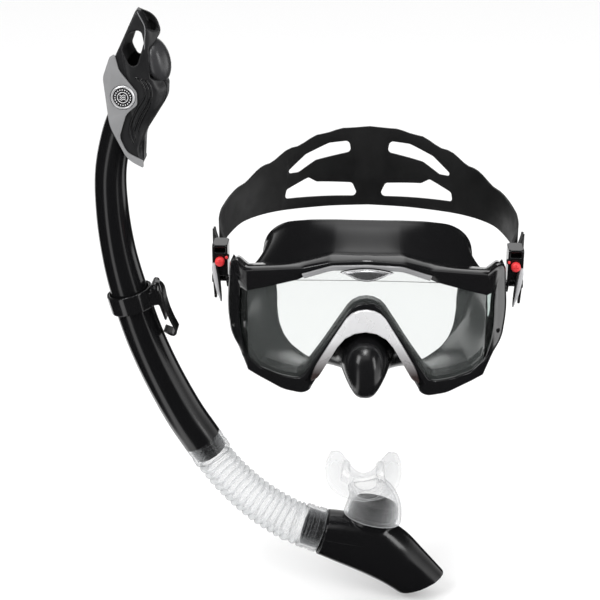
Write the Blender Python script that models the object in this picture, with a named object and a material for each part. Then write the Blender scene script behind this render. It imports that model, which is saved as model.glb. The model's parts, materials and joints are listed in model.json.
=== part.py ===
"""Diving mask with its dry snorkel, as separate closed solids.

The mask stands upright as worn: +Z up, facing -Y, with the origin at the centre of the face
seal.  The snorkel stands beside it in the plane Y = 0, on the -X side.
Lengths are in millimetres and are scaled to metres when a mesh is made.
"""

import math

import bmesh
import bpy
from mathutils import Matrix, Vector

MM = 0.001
GAP = 0.3                     # clearance between neighbouring pieces

# ---- Driving dimensions of the mask -------------------------------------------------------
FRAME_FRONT = -64.0           # front face of the frame
SEAM_X = 74.0                 # where the flat front glass meets the side glass
EDGE_X = 81.0                 # outer edge of the side glass
SIDE_SLOPE = 2.2              # how fast the side glass runs back, depth per width
BEZEL_SLOPE = 1.3             # the same for the frame outside the side glass
LIP = 3.2                     # thickness of the frame's lip over the glass
LENS_FRONT = LIP + GAP        # depth of the glass behind the frame's front face
LENS_THICK = 4.0              # tempered front glass
SIDE_LENS_DEPTH = 7.0         # side glass, measured along Y
LENS_OVERHANG = 2.3           # glass hidden under the lip
WALL_IN = 4.3                 # inner side of the frame's wall, from the window's edge
RECESS = 2.4                  # depth of the seats for the two trims
TRIM_EDGE = 3.8               # where a trim's seat begins or ends
SKIRT_THICK = 1.8
SKIRT_FLANGE = 3.6            # skirt flange behind the glass
SKIRT_OUT = 1.5               # outer side of the skirt where it leaves the frame

# Window, frame edge and face rim: matching corners (x, z, radius) from the top centre over the
# wearer's right side to the nose.  A radius of 0 marks the seam between front and side glass.
WINDOW = [(0, 38.5, 60), (-22, 37.6, 25), (-38, 32.3, 12), (-57, 27.2, 60), (-74, 23.0, 0),
          (-79.5, 21.2, 3), (-80.4, -2, 60), (-78.6, -13, 14), (-74, -21.5, 0),
          (-67, -28.8, 10), (-55, -34.2, 40), (-41, -36.8, 6), (0, 27.5, 13.2)]
FRAME = [(0, 45.0, 80), (-22, 43.8, 30), (-40, 39.6, 25), (-58, 38.4, 60), (-74, 37.5, 0),
         (-86.5, 35.5, 6), (-89.3, 2, 80), (-87, -16, 16), (-74, -31.5, 0),
         (-66, -36.6, 20), (-51, -45.0, 20), (-36.5, -48.0, 8), (0, 17.5, 21)]
RIM = [(0, 50.7, 60), (-20, 50.2, 30), (-37, 48.4, 20), (-53, 44.6, 12), (-62.5, 38, 0),
       (-68.2, 29, 12), (-70, 10, 30), (-70, -6, 30), (-67.5, -19, 0),
       (-62, -31, 20), (-52, -44, 14), (-37, -53, 14), (0, -42, 30)]
ARC_STEPS = 2                 # segments in each rounded corner
SIDE_STEPS = 1                # segments in each straight stretch
NOTCH_STEPS = 5               # the same beside the nose notch

# ---- Driving dimensions of the strap and its buckles ---------------------------------------
STRAP_PLAN = [(-92.3, -11), (-93.2, -5), (-97.3, 12), (-99.5, 30), (-96, 55), (-84, 80),
              (-63, 97), (-33, 107),
              (0, 110)]
STRAP_TOP = [(0, 34.4), (28, 36.5), (55, 41), (90, 46), (114, 55.6), (134, 65.3), (155, 74),
             (172, 78), (193, 79.2)]
STRAP_BOTTOM = [(0, 18.8), (28, 17.2), (60, 16.6), (90, 19.0), (130, 19.4), (193, 20.6)]
STRAP_THICK = 1.5
UPPER_SLOT = [(127, 46, 2), (138, 46.5, 5), (150.5, 54.7, 8), (176, 60.5, 3), (174.5, 68.9, 3),
              (160, 67.4, 8), (143, 59.8, 6)]
LOWER_SLOT = [(127, 27.4, 2.5), (181.5, 27.2, 3), (177, 37.6, 3), (151, 38.8, 4),
              (145, 42.4, 2), (128.5, 34.6, 3)]
PIVOT = Vector((0, -13, 11))  # the buckles' pivot line, along X
ROLLER = (-94.65, -13)        # the strap's roller, an upright pin
ROLLER_R = 1.3
BUTTON = (-94.65, 26.5)       # release button, x and z
BUTTON_R = 3.1
CAGE_BOTTOM, CAGE_TOP = 16.0, 37.0
PLATE_IN = (-91.3, -89.8)
PLATE_OUT = (-99.8, -98.0)
CAGE_FRONT, CAGE_BACK = -22.0, -7.5

# ---- Driving dimensions of the snorkel, in its plane Y = 0 ----------------------------------
TUBE_PATH = [(-112.3, -116.1), (-125.2, -94.3), (-139.5, -63.9), (-150.6, -34.1),
             (-159, -3), (-164.3, 23.7), (-167.0, 51.7), (-166.6, 79.1), (-161, 104),
             (-153.5, 122)]
TUBE_RADII = [13.7, 13.5, 13.2, 12.9, 12.4, 11.5, 10.8, 10.2, 10.0, 10.0]
TUBE_WALL = 1.6
HOSE_PATH = [(-104.0, -130.1), (-101.4, -134.4), (-92.4, -145.9), (-79.5, -159.3),
             (-65.8, -170.4), (-52, -179.4), (-47.6, -181.5), (-43.4, -183.0)]
COUPLER_LENGTH = 15.0
HOSE_BEND = Vector((-72.5, 0, -165.0))   # the hose bends about this point
HOSE_RADII = (13.3, 15.4)
HOSE_RIBS = 15
LOWER_COUPLER = Vector((-43.0, 0, -183.1))
LOWER_AXIS = Vector((0.947, 0, -0.322))
# Chamber sections: lowest point (x, z), highest point (x, z), half depth.
CHAMBER = [((-33.1, -204.2), (-23.6, -172.6), 16.2), ((-20, -210.4), (-13.4, -173.4), 16.6),
           ((-7.4, -216.2), (3, -176.6), 16.8), ((4, -222), (19.5, -180.5), 16.4),
           ((14, -227.6), (32, -188.6), 15.4), ((21, -232.2), (45, -203.2), 14.0),
           ((26.2, -236), (59.6, -220.4), 12.6)]
CHAMBER_WALL = 2.2
PORT = Vector((6.6, 0, -177.6))
PORT_AXIS = Vector((0.203, 0, 0.979))
# Mouthpiece neck: centre (x, z), half width, half depth, from the chamber upwards.
NECK = [((6.9, -175.6), 20.8, 13.8), ((8.3, -168.0), 19.9, 13.5), ((8.6, -160.0), 18.1, 12.8),
        ((6.0, -153.2), 15.9, 12.0), ((2.6, -148.4), 13.6, 11.0)]
NECK_WALL = 2.3
BITE_ARC = [(-25, -128.5), (-20.5, -138.0), (-12.5, -145.2), (0.5, -148.6), (13, -145.4),
            (20.8, -138.5), (25, -129.5)]
BITE_DEPTH = [7.5, 13.0, 15.5, 15.5, 15.5, 13.0, 7.5]

# Dry top: outline of the housing, its chamber, window and side trim as (x, z, radius).
HOUSING = [(-144.8, 184.4, 0.8), (-134.0, 180.2, 7), (-130.6, 168.6, 4), (-137, 161.6, 3),
           (-137, 143, 3), (-126.8, 139.4, 3), (-127.6, 129, 12), (-142.5, 106, 18),
           (-144.2, 85.2, 1), (-153.6, 90.5, 16), (-164.0, 111, 30), (-165.4, 142, 14),
           (-154.2, 164.6, 40)]
HOUSING_HALF = 12.6
WINDOW_CUT = [(-149.2, 171.4, 4), (-141.6, 173.0, 3), (-139.9, 164.5, 5), (-145.0, 150.6, 3),
              (-149.2, 150.6, 3), (-153.6, 160.5, 5)]
FLOAT_ROOM = [(-139.5, 157, 1.5), (-134, 157, 1), (-134, 145.5, 1), (-136.5, 141.5, 1),
              (-129.9, 137.0, 2), (-131.6, 127, 3), (-141, 116.5, 2), (-161, 125.5, 2),
              (-161, 139, 3), (-151, 154, 3), (-143.5, 158, 2)]
INLET = [(-143.6, 186.8, 0.6), (-139.4, 176.2, 2), (-139.0, 173.6, 1), (-131.5, 170.4, 1),
         (-120, 168, 1), (-120, 192, 1)]
INLET_BACK = 3.0              # the inlet is cut from the front to this depth
INLET_WELL = [(-139.0, 178, 1), (-138.2, 167.2, 1.5), (-134.8, 167.2, 1.5), (-134.2, 174, 1)]
TRIM = [(-158.0, 158.6, 0.8), (-155.8, 148.5, 10), (-150.0, 140.8, 4), (-145.2, 134.5, 4),
        (-145.2, 126.6, 3), (-152.5, 120.5, 10), (-157.4, 105.5, 8), (-153.2, 95.5, 10),
        (-142.9, 90.2, 0.8), (-142.9, 85.4, 0.8), (-153.0, 91.0, 16), (-163.4, 113, 30),
        (-166.0, 144, 12), (-161.2, 156.6, 2)]
DOME = [(-136.7, 160.9, 0.8), (-131.0, 166.6, 2), (-127.6, 162.0, 5), (-124.6, 151, 10),
        (-126.2, 141.0, 4), (-129.8, 141.4, 2), (-136.7, 144.2, 0.8)]
EMBLEM = (-154.0, 131.4)
EMBLEM_R = 7.6
LEVER_PIN = Vector((-143.0, 0, 132.0))
SIDES = 16                    # sides of round snorkel parts
SMALL_SIDES = 10


# ==== Curves and outlines ===================================================================

def spline(points, steps):
    """Smooth open curve through points, as tuples; steps segments between neighbours."""
    ends = [tuple(2 * a - b for a, b in zip(points[0], points[1]))]
    tail = [tuple(2 * a - b for a, b in zip(points[-1], points[-2]))]
    p = ends + [tuple(q) for q in points] + tail
    out = []
    for i in range(1, len(p) - 2):
        for k in range(steps):
            t = k / steps
            out.append(tuple(
                0.5 * (2 * b + (c - a) * t + (2 * a - 5 * b + 4 * c - d) * t * t
                       + (3 * b - a - 3 * c + d) * t ** 3)
                for a, b, c, d in zip(p[i - 1], p[i], p[i + 1], p[i + 2])))
    out.append(tuple(points[-1]))
    return out


def table(points, value):
    """Smooth value between the rows of a short table (position, value)."""
    if value <= points[0][0]:
        return points[0][1]
    for (a, va), (b, vb) in zip(points, points[1:]):
        if value <= b:
            t = (value - a) / (b - a)
            return va + (vb - va) * t * t * (3 - 2 * t)
    return points[-1][1]


def corner_points(before, corner, after, steps):
    """Fillet of one corner (x, z, radius); a radius of 0 keeps the corner as one point."""
    c = Vector(corner[:2])
    if corner[2] == 0:
        return [c]
    a, b = Vector(before[:2]) - c, Vector(after[:2]) - c
    half = a.angle(b) / 2
    reach = min(corner[2] / math.tan(half), 0.48 * a.length, 0.48 * b.length)
    radius = reach * math.tan(half)
    centre = c + (a.normalized() + b.normalized()).normalized() * (radius / math.sin(half))
    start, end = c + a.normalized() * reach - centre, c + b.normalized() * reach - centre
    turn = math.atan2(start.x * end.y - start.y * end.x, start.dot(end))
    out = []
    for k in range(steps + 1):
        angle = turn * k / steps
        out.append(centre + Vector((start.x * math.cos(angle) - start.y * math.sin(angle),
                                    start.x * math.sin(angle) + start.y * math.cos(angle))))
    return out


def rounded(corners, arc_steps, side_steps, notch=None):
    """Closed outline with rounded corners; equal lists of corners give matching points.

    The two sides that meet at the corner numbered notch get NOTCH_STEPS segments.
    """
    out = []
    count = len(corners)
    arcs = [corner_points(corners[i - 1], corners[i], corners[(i + 1) % count], arc_steps)
            for i in range(count)]
    for i, arc in enumerate(arcs):
        out += arc
        following = arcs[(i + 1) % count][0]
        steps = NOTCH_STEPS if notch in (i, i + 1) else side_steps
        for k in range(1, steps):
            out.append(arc[-1].lerp(following, k / steps))
    return out


def both_sides(half):
    """Corners of the whole outline from one half that starts and ends on the middle line."""
    return half + [(-x, z, r) for x, z, r in reversed(half[1:-1])]


# ==== Mesh making ===========================================================================

def paint(name, color, roughness, metallic=0.0, alpha=1.0):
    """Principled material of one colour."""
    material = bpy.data.materials.get(name) or bpy.data.materials.new(name)
    material.use_nodes = True
    shader = material.node_tree.nodes["Principled BSDF"]
    shader.inputs["Base Color"].default_value = (*color, 1)
    shader.inputs["Roughness"].default_value = roughness
    shader.inputs["Metallic"].default_value = metallic
    shader.inputs["Alpha"].default_value = alpha
    return material


def make(name, points, faces, material, smooth=35):
    """Closed mesh object from points in millimetres, its faces turned outwards."""
    mesh = bpy.data.meshes.new(name)
    mesh.from_pydata([Vector(p) * MM for p in points], [], faces)
    work = bmesh.new()
    work.from_mesh(mesh)
    bmesh.ops.remove_doubles(work, verts=work.verts, dist=1e-6)
    bmesh.ops.recalc_face_normals(work, faces=work.faces)
    if work.calc_volume(signed=True) < 0:
        bmesh.ops.reverse_faces(work, faces=work.faces)
    work.to_mesh(mesh)
    work.free()
    mesh.materials.append(material)
    obj = bpy.data.objects.new(name, mesh)
    bpy.context.collection.objects.link(obj)
    if smooth:
        mesh.shade_smooth()
        mesh.set_sharp_from_angle(angle=math.radians(smooth))
    return obj


def loft(rings, closed_path=False, capped=True):
    """Faces joining equal rings of points in order."""
    n = len(rings[0])
    points = [p for ring in rings for p in ring]
    faces = []
    count = len(rings)
    for r in range(count if closed_path else count - 1):
        a, b = r * n, (r + 1) % count * n
        faces += [(a + k, a + (k + 1) % n, b + (k + 1) % n, b + k) for k in range(n)]
    if capped and not closed_path:
        faces.append(tuple(range(n))[::-1])
        faces.append(tuple(range((count - 1) * n, count * n)))
    return points, faces


def prism(outline, low, high, place):
    """Outline of 2-D points between two levels; place turns (a, b, level) into a point."""
    rings = [[place(p[0], p[1], level) for p in outline] for level in (low, high)]
    return loft(rings)


def upright(x, z, y):
    """Place an (x, z) outline that is extruded along Y."""
    return Vector((x, y, z))


def sideways(y, z, x):
    """Place a (y, z) outline that is extruded along X."""
    return Vector((x, y, z))


def ring_at(centre, axis, radius, sides, second=None, start=0.0):
    """Circle or ellipse of points round an axis; the first half-axis lies along Y."""
    axis = axis.normalized()
    u = Vector((0, 1, 0)) if abs(axis.y) < 0.9 else Vector((1, 0, 0))
    v = axis.cross(u).normalized()
    u = v.cross(axis).normalized()
    other = radius if second is None else second
    return [centre + u * (radius * math.cos(a)) + v * (other * math.sin(a))
            for a in (start + 2 * math.pi * k / sides for k in range(sides))]


def rod(start, end, radius, sides=SMALL_SIDES):
    """Plain round bar."""
    axis = end - start
    return loft([ring_at(start, axis, radius, sides), ring_at(end, axis, radius, sides)])


def turned(profile, centre, axis, sides, closed=True):
    """Solid of revolution from a profile (distance along the axis, radius)."""
    axis = axis.normalized()
    rings = [ring_at(centre + axis * t, axis, r, sides) for t, r in profile]
    return loft(rings, closed_path=closed, capped=not closed)


def move_origin(point, names):
    """Put the origins of moving pieces on their joint's axis."""
    for name in names:
        obj = bpy.data.objects[name]
        obj.data.transform(Matrix.Translation(-point * MM))
        obj.location = point * MM


def combine(base, tools, operation, keep_material=True):
    """Exact boolean of closed objects, applied; the tools are removed."""
    for tool in tools:
        modifier = base.modifiers.new("cut", "BOOLEAN")
        modifier.operation = operation
        modifier.solver = "EXACT"
        modifier.object = tool
    bpy.context.view_layer.update()
    graph = bpy.context.evaluated_depsgraph_get()
    mesh = bpy.data.meshes.new_from_object(base.evaluated_get(graph))
    base.modifiers.clear()
    old = base.data
    base.data = mesh
    mesh.name = base.name
    if keep_material:
        mesh.materials.clear()
        mesh.materials.append(old.materials[0])
        for face in mesh.polygons:
            face.material_index = 0
    bpy.data.meshes.remove(old)
    for tool in tools:
        bpy.data.objects.remove(tool)
    mesh.shade_smooth()
    mesh.set_sharp_from_angle(angle=math.radians(35))
    return base


def mirrored(points):
    """The same points on the other side of the mask."""
    return [Vector((-p[0], p[1], p[2])) for p in points]


# ==== Mask: frame and glass =================================================================

def wrap(x):
    """How far the frame's face lies behind the middle, at a distance x from it."""
    a = abs(x)
    side = max(0.0, min(a, EDGE_X) - SEAM_X) * SIDE_SLOPE
    return side + max(0.0, a - EDGE_X) * BEZEL_SLOPE


class Station:
    """One place round the window: window edge, frame edge and face rim, with their zone."""

    def __init__(self, window, frame, rim, cross):
        self.window, self.frame, self.rim = window, frame, rim
        self.span = (frame - window).length
        self.out = (frame - window) / self.span
        self.cross = cross          # -1..1 across the nose notch, None elsewhere

    def at(self, distance, depth):
        """Point a distance outwards from the window's edge, depth behind the front face."""
        p = self.window + self.out * distance
        return Vector((p.x, FRAME_FRONT + wrap(p.x) + depth, p.y))

    @property
    def glass_back(self):
        """Depth of the glass's back face here."""
        side = abs(self.window.x) > SEAM_X - 0.01
        return LENS_FRONT + (SIDE_LENS_DEPTH + 1.4 if side else LENS_THICK)

    @property
    def rear(self):
        """Depth of the frame's rear edge here."""
        if self.cross is not None:
            return 14.0
        if self.window.y > 15:
            return 22.0 - 6 * max(0.0, 1 - abs(self.window.x) / 40)
        low = max(0.0, min(1.0, (10 - self.window.y) / 30))
        return 17.5 - 1.0 * low


def stations():
    """All places round the window, in order."""
    notch = len(WINDOW) - 1
    window, frame, rim = (rounded(both_sides(half), ARC_STEPS, SIDE_STEPS, notch)
                          for half in (WINDOW, FRAME, RIM))
    single = [1 if c[2] == 0 else ARC_STEPS + 1 for c in WINDOW[:notch]]
    first = sum(single) + (notch - 1) * (SIDE_STEPS - 1) - 1
    reach = NOTCH_STEPS + ARC_STEPS / 2
    out = []
    for i, (w, f, r) in enumerate(zip(window, frame, rim)):
        cross = (i - first) / reach - 1
        out.append(Station(w, f, r, cross if abs(cross) <= 1 else None))
    return out


def seats(station):
    """Depths of the frame's face inside and outside the trims' edge."""
    if station.cross is not None:
        return 0.0, RECESS
    if station.window.y > 30 and abs(station.window.x) < 41:
        return RECESS, 0.0
    return 0.0, 0.0


def front_frame(ring, black):
    """Frame that goes round the glass, with a lip in front of it."""
    rings = []
    for s in ring:
        inner, outer = seats(s)
        taper = 4.0 if s.window.y > 20 and s.cross is None else 1.5
        taper = min(taper, s.span - WALL_IN - 1.6)
        rings.append([
            s.at(0, LIP), s.at(0, inner + 0.7), s.at(0.7, inner), s.at(TRIM_EDGE, inner),
            s.at(TRIM_EDGE, outer), s.at(s.span - 1.6, outer), s.at(s.span, outer + 2.0),
            s.at(s.span - taper, s.rear), s.at(WALL_IN, s.rear), s.at(WALL_IN, LIP)])
    points, faces = loft(rings, closed_path=True)
    return make("front_frame", points, faces, black)


def clamp_ring(ring, black):
    """Inner ring that presses the skirt's flange against the glass."""
    rings = []
    for s in ring:
        low = s.glass_back + GAP + SKIRT_THICK + GAP
        rings.append([s.at(a, b) for a, b in (
            (SKIRT_OUT + 0.6, low), (WALL_IN - GAP, low),
            (WALL_IN - GAP, s.rear - 0.8), (SKIRT_OUT + 0.6, s.rear - 0.8))])
    points, faces = loft(rings, closed_path=True)
    return make("clamp_ring", points, faces, black)


def flat_front_glass(ring, glass):
    """Middle pane, flat, out to the seams."""
    inside = [s for s in ring if abs(s.window.x) <= SEAM_X + 0.001]
    outline = [s.window + s.out * LENS_OVERHANG for s in inside]
    front = FRAME_FRONT + LENS_FRONT
    points, faces = prism(outline, front, front + LENS_THICK, upright)
    return make("front_lens", points, faces, glass, smooth=20)


def side_glass(ring, side, glass):
    """Side pane, from the seam backwards."""
    edge = SEAM_X + GAP
    outline = []
    for s in ring:
        if s.window.x * side < SEAM_X - 0.01:
            continue
        p = s.window + s.out * LENS_OVERHANG
        outline.append(Vector((side * max(abs(p.x), edge), p.y)))

    def place(x, z, level):
        return Vector((x, FRAME_FRONT + (abs(x) - SEAM_X) * SIDE_SLOPE + level, z))

    points, faces = prism(outline, LENS_FRONT, LENS_FRONT + SIDE_LENS_DEPTH, place)
    name = "side_lens_right" if side < 0 else "side_lens_left"
    return make(name, points, faces, glass, smooth=20)


def nose_trim(ring, silver):
    """Bright chevron over the nose, let into the frame's face."""
    rings = []
    for s in ring:
        if s.cross is None or abs(s.cross) > 0.97:
            continue
        end = max(0.0, abs(s.cross) - 0.8) / 0.17
        low = TRIM_EDGE + GAP + end * 0.25 * s.span
        high = s.span - 0.3 - end * 0.3 * s.span
        rings.append([s.at(a, b) for a, b in (
            (low, RECESS - GAP), (low, 0.2), (low + 0.8, -0.6),
            (high - 0.9, -0.6), (high, 0.3), (high, RECESS - GAP))])
    points, faces = loft(rings)
    return make("nose_trim", points, faces, silver)


def brow_trim(ring, grey):
    """Grey arched strip over the middle of the window."""
    top = [s for s in ring if s.cross is None and s.window.y > 30 and abs(s.window.x) < 38.5]
    top.sort(key=lambda s: s.window.x)
    rings = [[s.at(a, b) for a, b in (
        (0.1, RECESS - GAP), (0.1, 0.0), (0.7, -0.7), (TRIM_EDGE - 0.9, -0.7),
        (TRIM_EDGE - GAP, 0.0), (TRIM_EDGE - GAP, RECESS - GAP))] for s in top]
    points, faces = loft(rings)
    return make("brow_trim", points, faces, grey)


def brow_badge(silver):
    """Plain polished boss hanging from the brow trim."""
    steps, width = 12, 15.3
    top = [(x, 37.4 + 2.0 * (1 - (x / width) ** 2)) for x in
           (width - 2 * width * k / steps for k in range(steps + 1))]
    bottom = [(x, 37.4 - 4.9 * math.cos(x / width * math.pi / 2) ** 1.3) for x in
              (-width + 2 * width * k / steps for k in range(1, steps))]
    outline = top + bottom
    middle = Vector((0, 36.0))
    rings = []
    for level, keep in ((FRAME_FRONT - 1.0, 1.0), (FRAME_FRONT - 2.0, 1.0),
                        (FRAME_FRONT - 3.2, 0.72), (FRAME_FRONT - 3.5, 0.35)):
        rings.append([upright(*(middle + (Vector(p) - middle) * keep), level)
                      for p in outline])
    points, faces = loft(rings)
    return make("brow_badge", points, faces, silver)


# ==== Mask: skirt ===========================================================================

# Rows of the nose pocket, from behind the notch over the tip to the upper lip:
# middle (y, z), half width, side (y, z).
NOSE_ROWS = [
    (-47.0, 5.0, 8.0, -47.0, 1.0),
    (-47.0, -5.5, 9.0, -46.8, -6.0),
    (-60.0, -9.0, 10.5, -46.4, -12.0),
    (-72.0, -15.5, 15.2, -46.0, -20.5),
    (-77.5, -26.5, 16.8, -46.0, -29.5),
    (-76.0, -39.0, 14.6, -44.5, -37.0),
    (-66.0, -48.0, 12.0, -39.0, -43.4),
    (-46.0, -49.2, 12.6, -30.0, -45.6),
    (-25.0, -46.0, 14.5, -18.0, -47.0)]
POCKET_EDGE = 0.56            # where the pocket's side lies, across the notch
LIP_WIDTH = 9.0               # turned-in sealing lip


def rim_depth(x):
    """The face rim runs back towards the temples."""
    return -8.0 + 23.0 * (x / 70) ** 2


def bezier(p0, p1, p2, p3, t):
    """Point of a cubic curve."""
    u = 1 - t
    return p0 * u ** 3 + p1 * 3 * u * u * t + p2 * 3 * u * t * t + p3 * t ** 3


def wall_start(station):
    """Where the skirt's outer wall leaves the frame; over the nose it clears the frame."""
    return station.at(SKIRT_OUT, station.rear + (-0.3 if station.cross is None else 0.7))


def wall_row(station, t):
    """Point of the skirt's outer wall, t from the frame to the face rim."""
    start = wall_start(station)
    rim = Vector((station.rim.x, rim_depth(station.rim.x), station.rim.y))
    out = Vector((station.out.x, 0, station.out.y))
    reach = rim.y - start.y
    pinch = max(0.0, min(1.0, (abs(rim.x) - 38) / 22)) * max(0.0, min(1.0, (rim.z - 4) / 24))
    first = start + Vector((0, 0.35 * reach, 0)) + out * (0.5 - 5.0 * pinch)
    second = rim + Vector((0, -0.35 * reach, 0)) + out * (1.0 - 6.5 * pinch)
    return bezier(start, first, second, rim, t)


def pocket_row(row, across):
    """Point of the nose pocket; across runs from -1 to 1 over the pocket's width."""
    y_mid, z_mid, half, y_side, z_side = row
    bend = 1 - (1 - abs(across) ** 2.6) ** 0.62
    x = half * math.copysign(abs(across) ** 0.9, across)
    return Vector((x, y_mid + (y_side - y_mid) * bend, z_mid + (z_side - z_mid) * bend))


def skirt_rows(ring):
    """Rows of the skirt's outer surface behind the frame, one point for each station."""
    rows = [[wall_start(s) for s in ring]]
    nose = len(NOSE_ROWS)
    for k in range(nose + 1):
        t = (k + 0.4) / (nose + 0.4)
        row = []
        for s in ring:
            plain = wall_row(s, t)
            if s.cross is None:
                row.append(plain)
                continue
            across = max(-1.0, min(1.0, s.cross / POCKET_EDGE))
            if k < nose:
                pocket = pocket_row(NOSE_ROWS[k], across)
            else:
                pocket = wall_row(s, 1.0)
            fade = max(0.0, abs(s.cross) - POCKET_EDGE) / (1 - POCKET_EDGE)
            fade = fade * fade * (3 - 2 * fade)
            row.append(pocket.lerp(plain, fade))
        rows.append(row)
    lip = []
    for s in ring:
        inward = Vector((-s.rim.x, 0, 2 - s.rim.y)).normalized()
        lip.append(Vector((s.rim.x, rim_depth(s.rim.x) - 1.0, s.rim.y)) + inward * LIP_WIDTH)
    return rows + [lip]


def skirt(ring, rubber):
    """Silicone skirt: flange behind the glass, wall, nose pocket and turned-in lip."""
    outer = skirt_rows(ring)
    points, faces = loft(outer, capped=False)
    sheet = bpy.data.meshes.new("sheet")
    sheet.from_pydata([tuple(p) for p in points], [], faces)
    count = len(ring)
    probe = sheet.vertices[count * 3].normal.dot(points[count * 3] - Vector((0, -20, 0)))
    depth = SKIRT_THICK if probe > 0 else -SKIRT_THICK
    inner = [[points[r * count + i] - sheet.vertices[r * count + i].normal * depth
              for i in range(count)] for r in range(len(outer))]
    bpy.data.meshes.remove(sheet)
    bore = SKIRT_OUT - SKIRT_THICK
    inner[0] = [s.at(bore, s.rear - 0.3) if s.cross is None else p
                for s, p in zip(ring, inner[0])]
    flange = [(SKIRT_FLANGE, GAP), (SKIRT_FLANGE, GAP + SKIRT_THICK),
              (SKIRT_OUT, GAP + SKIRT_THICK)]
    rows = [[s.at(a, s.glass_back + b) for s in ring] for a, b in flange]
    rows += outer + inner[::-1]
    rows.append([s.at(bore, s.glass_back + GAP) for s in ring])
    points, faces = loft(rows, closed_path=True)
    return make("skirt", points, faces, rubber, smooth=60)


# ==== Mask: strap and buckles ===============================================================

def tail_plan():
    """Plan of the strap's end: from its tip forwards outside the band, round the roller."""
    cx, cy = ROLLER
    turn = ROLLER_R + GAP + STRAP_THICK / 2
    out = [Vector((cx - turn - 5.4, cy + 33)), Vector((cx - turn - 3.8, cy + 24)),
           Vector((cx - turn - 1.6, cy + 14)), Vector((cx - turn, cy + 6))]
    for k in range(7):
        angle = math.pi + math.pi * k / 6
        out.append(Vector((cx + turn * math.cos(angle), cy + turn * math.sin(angle))))
    return out


def strap_path(steps):
    """Plan of the strap's middle line (distance, point, direction), tip to pad middle."""
    plan = tail_plan() + [Vector(p) for p in spline(STRAP_PLAN, steps)]
    out, run = [], 0.0
    for i, p in enumerate(plan):
        if i:
            run += (p - plan[i - 1]).length
        ahead = plan[min(i + 1, len(plan) - 1)] - plan[max(i - 1, 0)]
        out.append((run, p, ahead.normalized()))
    return out


def tail_length():
    """Length of the strap from its tip to the inner side of the roller."""
    plan = tail_plan()
    return sum((b - a).length for a, b in zip(plan, plan[1:]))


def bent(path, distance, height, off):
    """Point of the band from its flat pattern: along, up, and off the middle surface."""
    half = path[-1][0]
    side = 1 if distance <= half else -1
    along = distance if side > 0 else 2 * half - distance
    for (s0, p0, d0), (s1, p1, d1) in zip(path, path[1:]):
        if along <= s1 + 1e-9:
            break
    t = (along - s0) / (s1 - s0)
    p = p0.lerp(p1, t)
    d = d0.lerp(d1, t).normalized()
    x, y = p.x + off * -d.y, p.y + off * d.x
    return Vector((x * side, y, height))


def strap(rubber, steps=2):
    """The strap with its four slots, cut flat and then bent to its plan."""
    path = strap_path(steps)
    half, tail = path[-1][0], tail_length()
    places = [row[0] for row in path]
    places += [2 * half - s for s in reversed(places[:-1])]
    rings = []
    for s in places:
        along = min(s, 2 * half - s) - tail
        low, high = table(STRAP_BOTTOM, along), table(STRAP_TOP, along)
        thick = STRAP_THICK / 2
        rings.append([Vector((s, o, z)) for z, o in (
            (low, -thick), (low, thick), ((low + high) / 2, thick), (high, thick),
            (high, -thick), ((low + high) / 2, -thick))])
    points, faces = loft(rings)
    slab = make("strap", points, faces, rubber, smooth=0)
    cutters = []
    for corners in (UPPER_SLOT, LOWER_SLOT):
        for flip in (False, True):
            outline = [Vector((p.x + tail, p.y)) for p in rounded(corners, 3, 1)]
            if flip:
                outline = [Vector((2 * half - p.x, p.y)) for p in outline]
            points, faces = prism(outline, -4, 4, upright)
            cutters.append(make("slot_cutter", points, faces, rubber, smooth=0))
    combine(slab, cutters, "DIFFERENCE")
    work = bmesh.new()
    work.from_mesh(slab.data)
    bmesh.ops.triangulate(work, faces=[f for f in work.faces if len(f.verts) > 4])
    for vertex in work.verts:
        s, off, z = vertex.co / MM
        vertex.co = bent(path, s, z, off) * MM
    bmesh.ops.recalc_face_normals(work, faces=work.faces)
    if work.calc_volume(signed=True) < 0:
        bmesh.ops.reverse_faces(work, faces=work.faces)
    work.to_mesh(slab.data)
    work.free()
    return slab


def plate(outline, span, sides=3):
    """Flat plate from rounded (y, z, radius) corners between two x values."""
    return prism(rounded(outline, sides, 1), span[0], span[1], sideways)


def flipped(data, side):
    """Points and faces of a right-hand piece, mirrored for the left."""
    points, faces = data
    return (mirrored(points) if side > 0 else points), faces


def block(x, y, z):
    """Box between pairs of limits."""
    outline = [Vector((a, b)) for a, b in ((x[0], z[0]), (x[1], z[0]), (x[1], z[1]), (x[0], z[1]))]
    return prism(outline, y[0], y[1], upright)


def side_name(base, side):
    """Name of the piece on the wearer's right (-X) or left (+X)."""
    return base + ("_right" if side < 0 else "_left")


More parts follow.
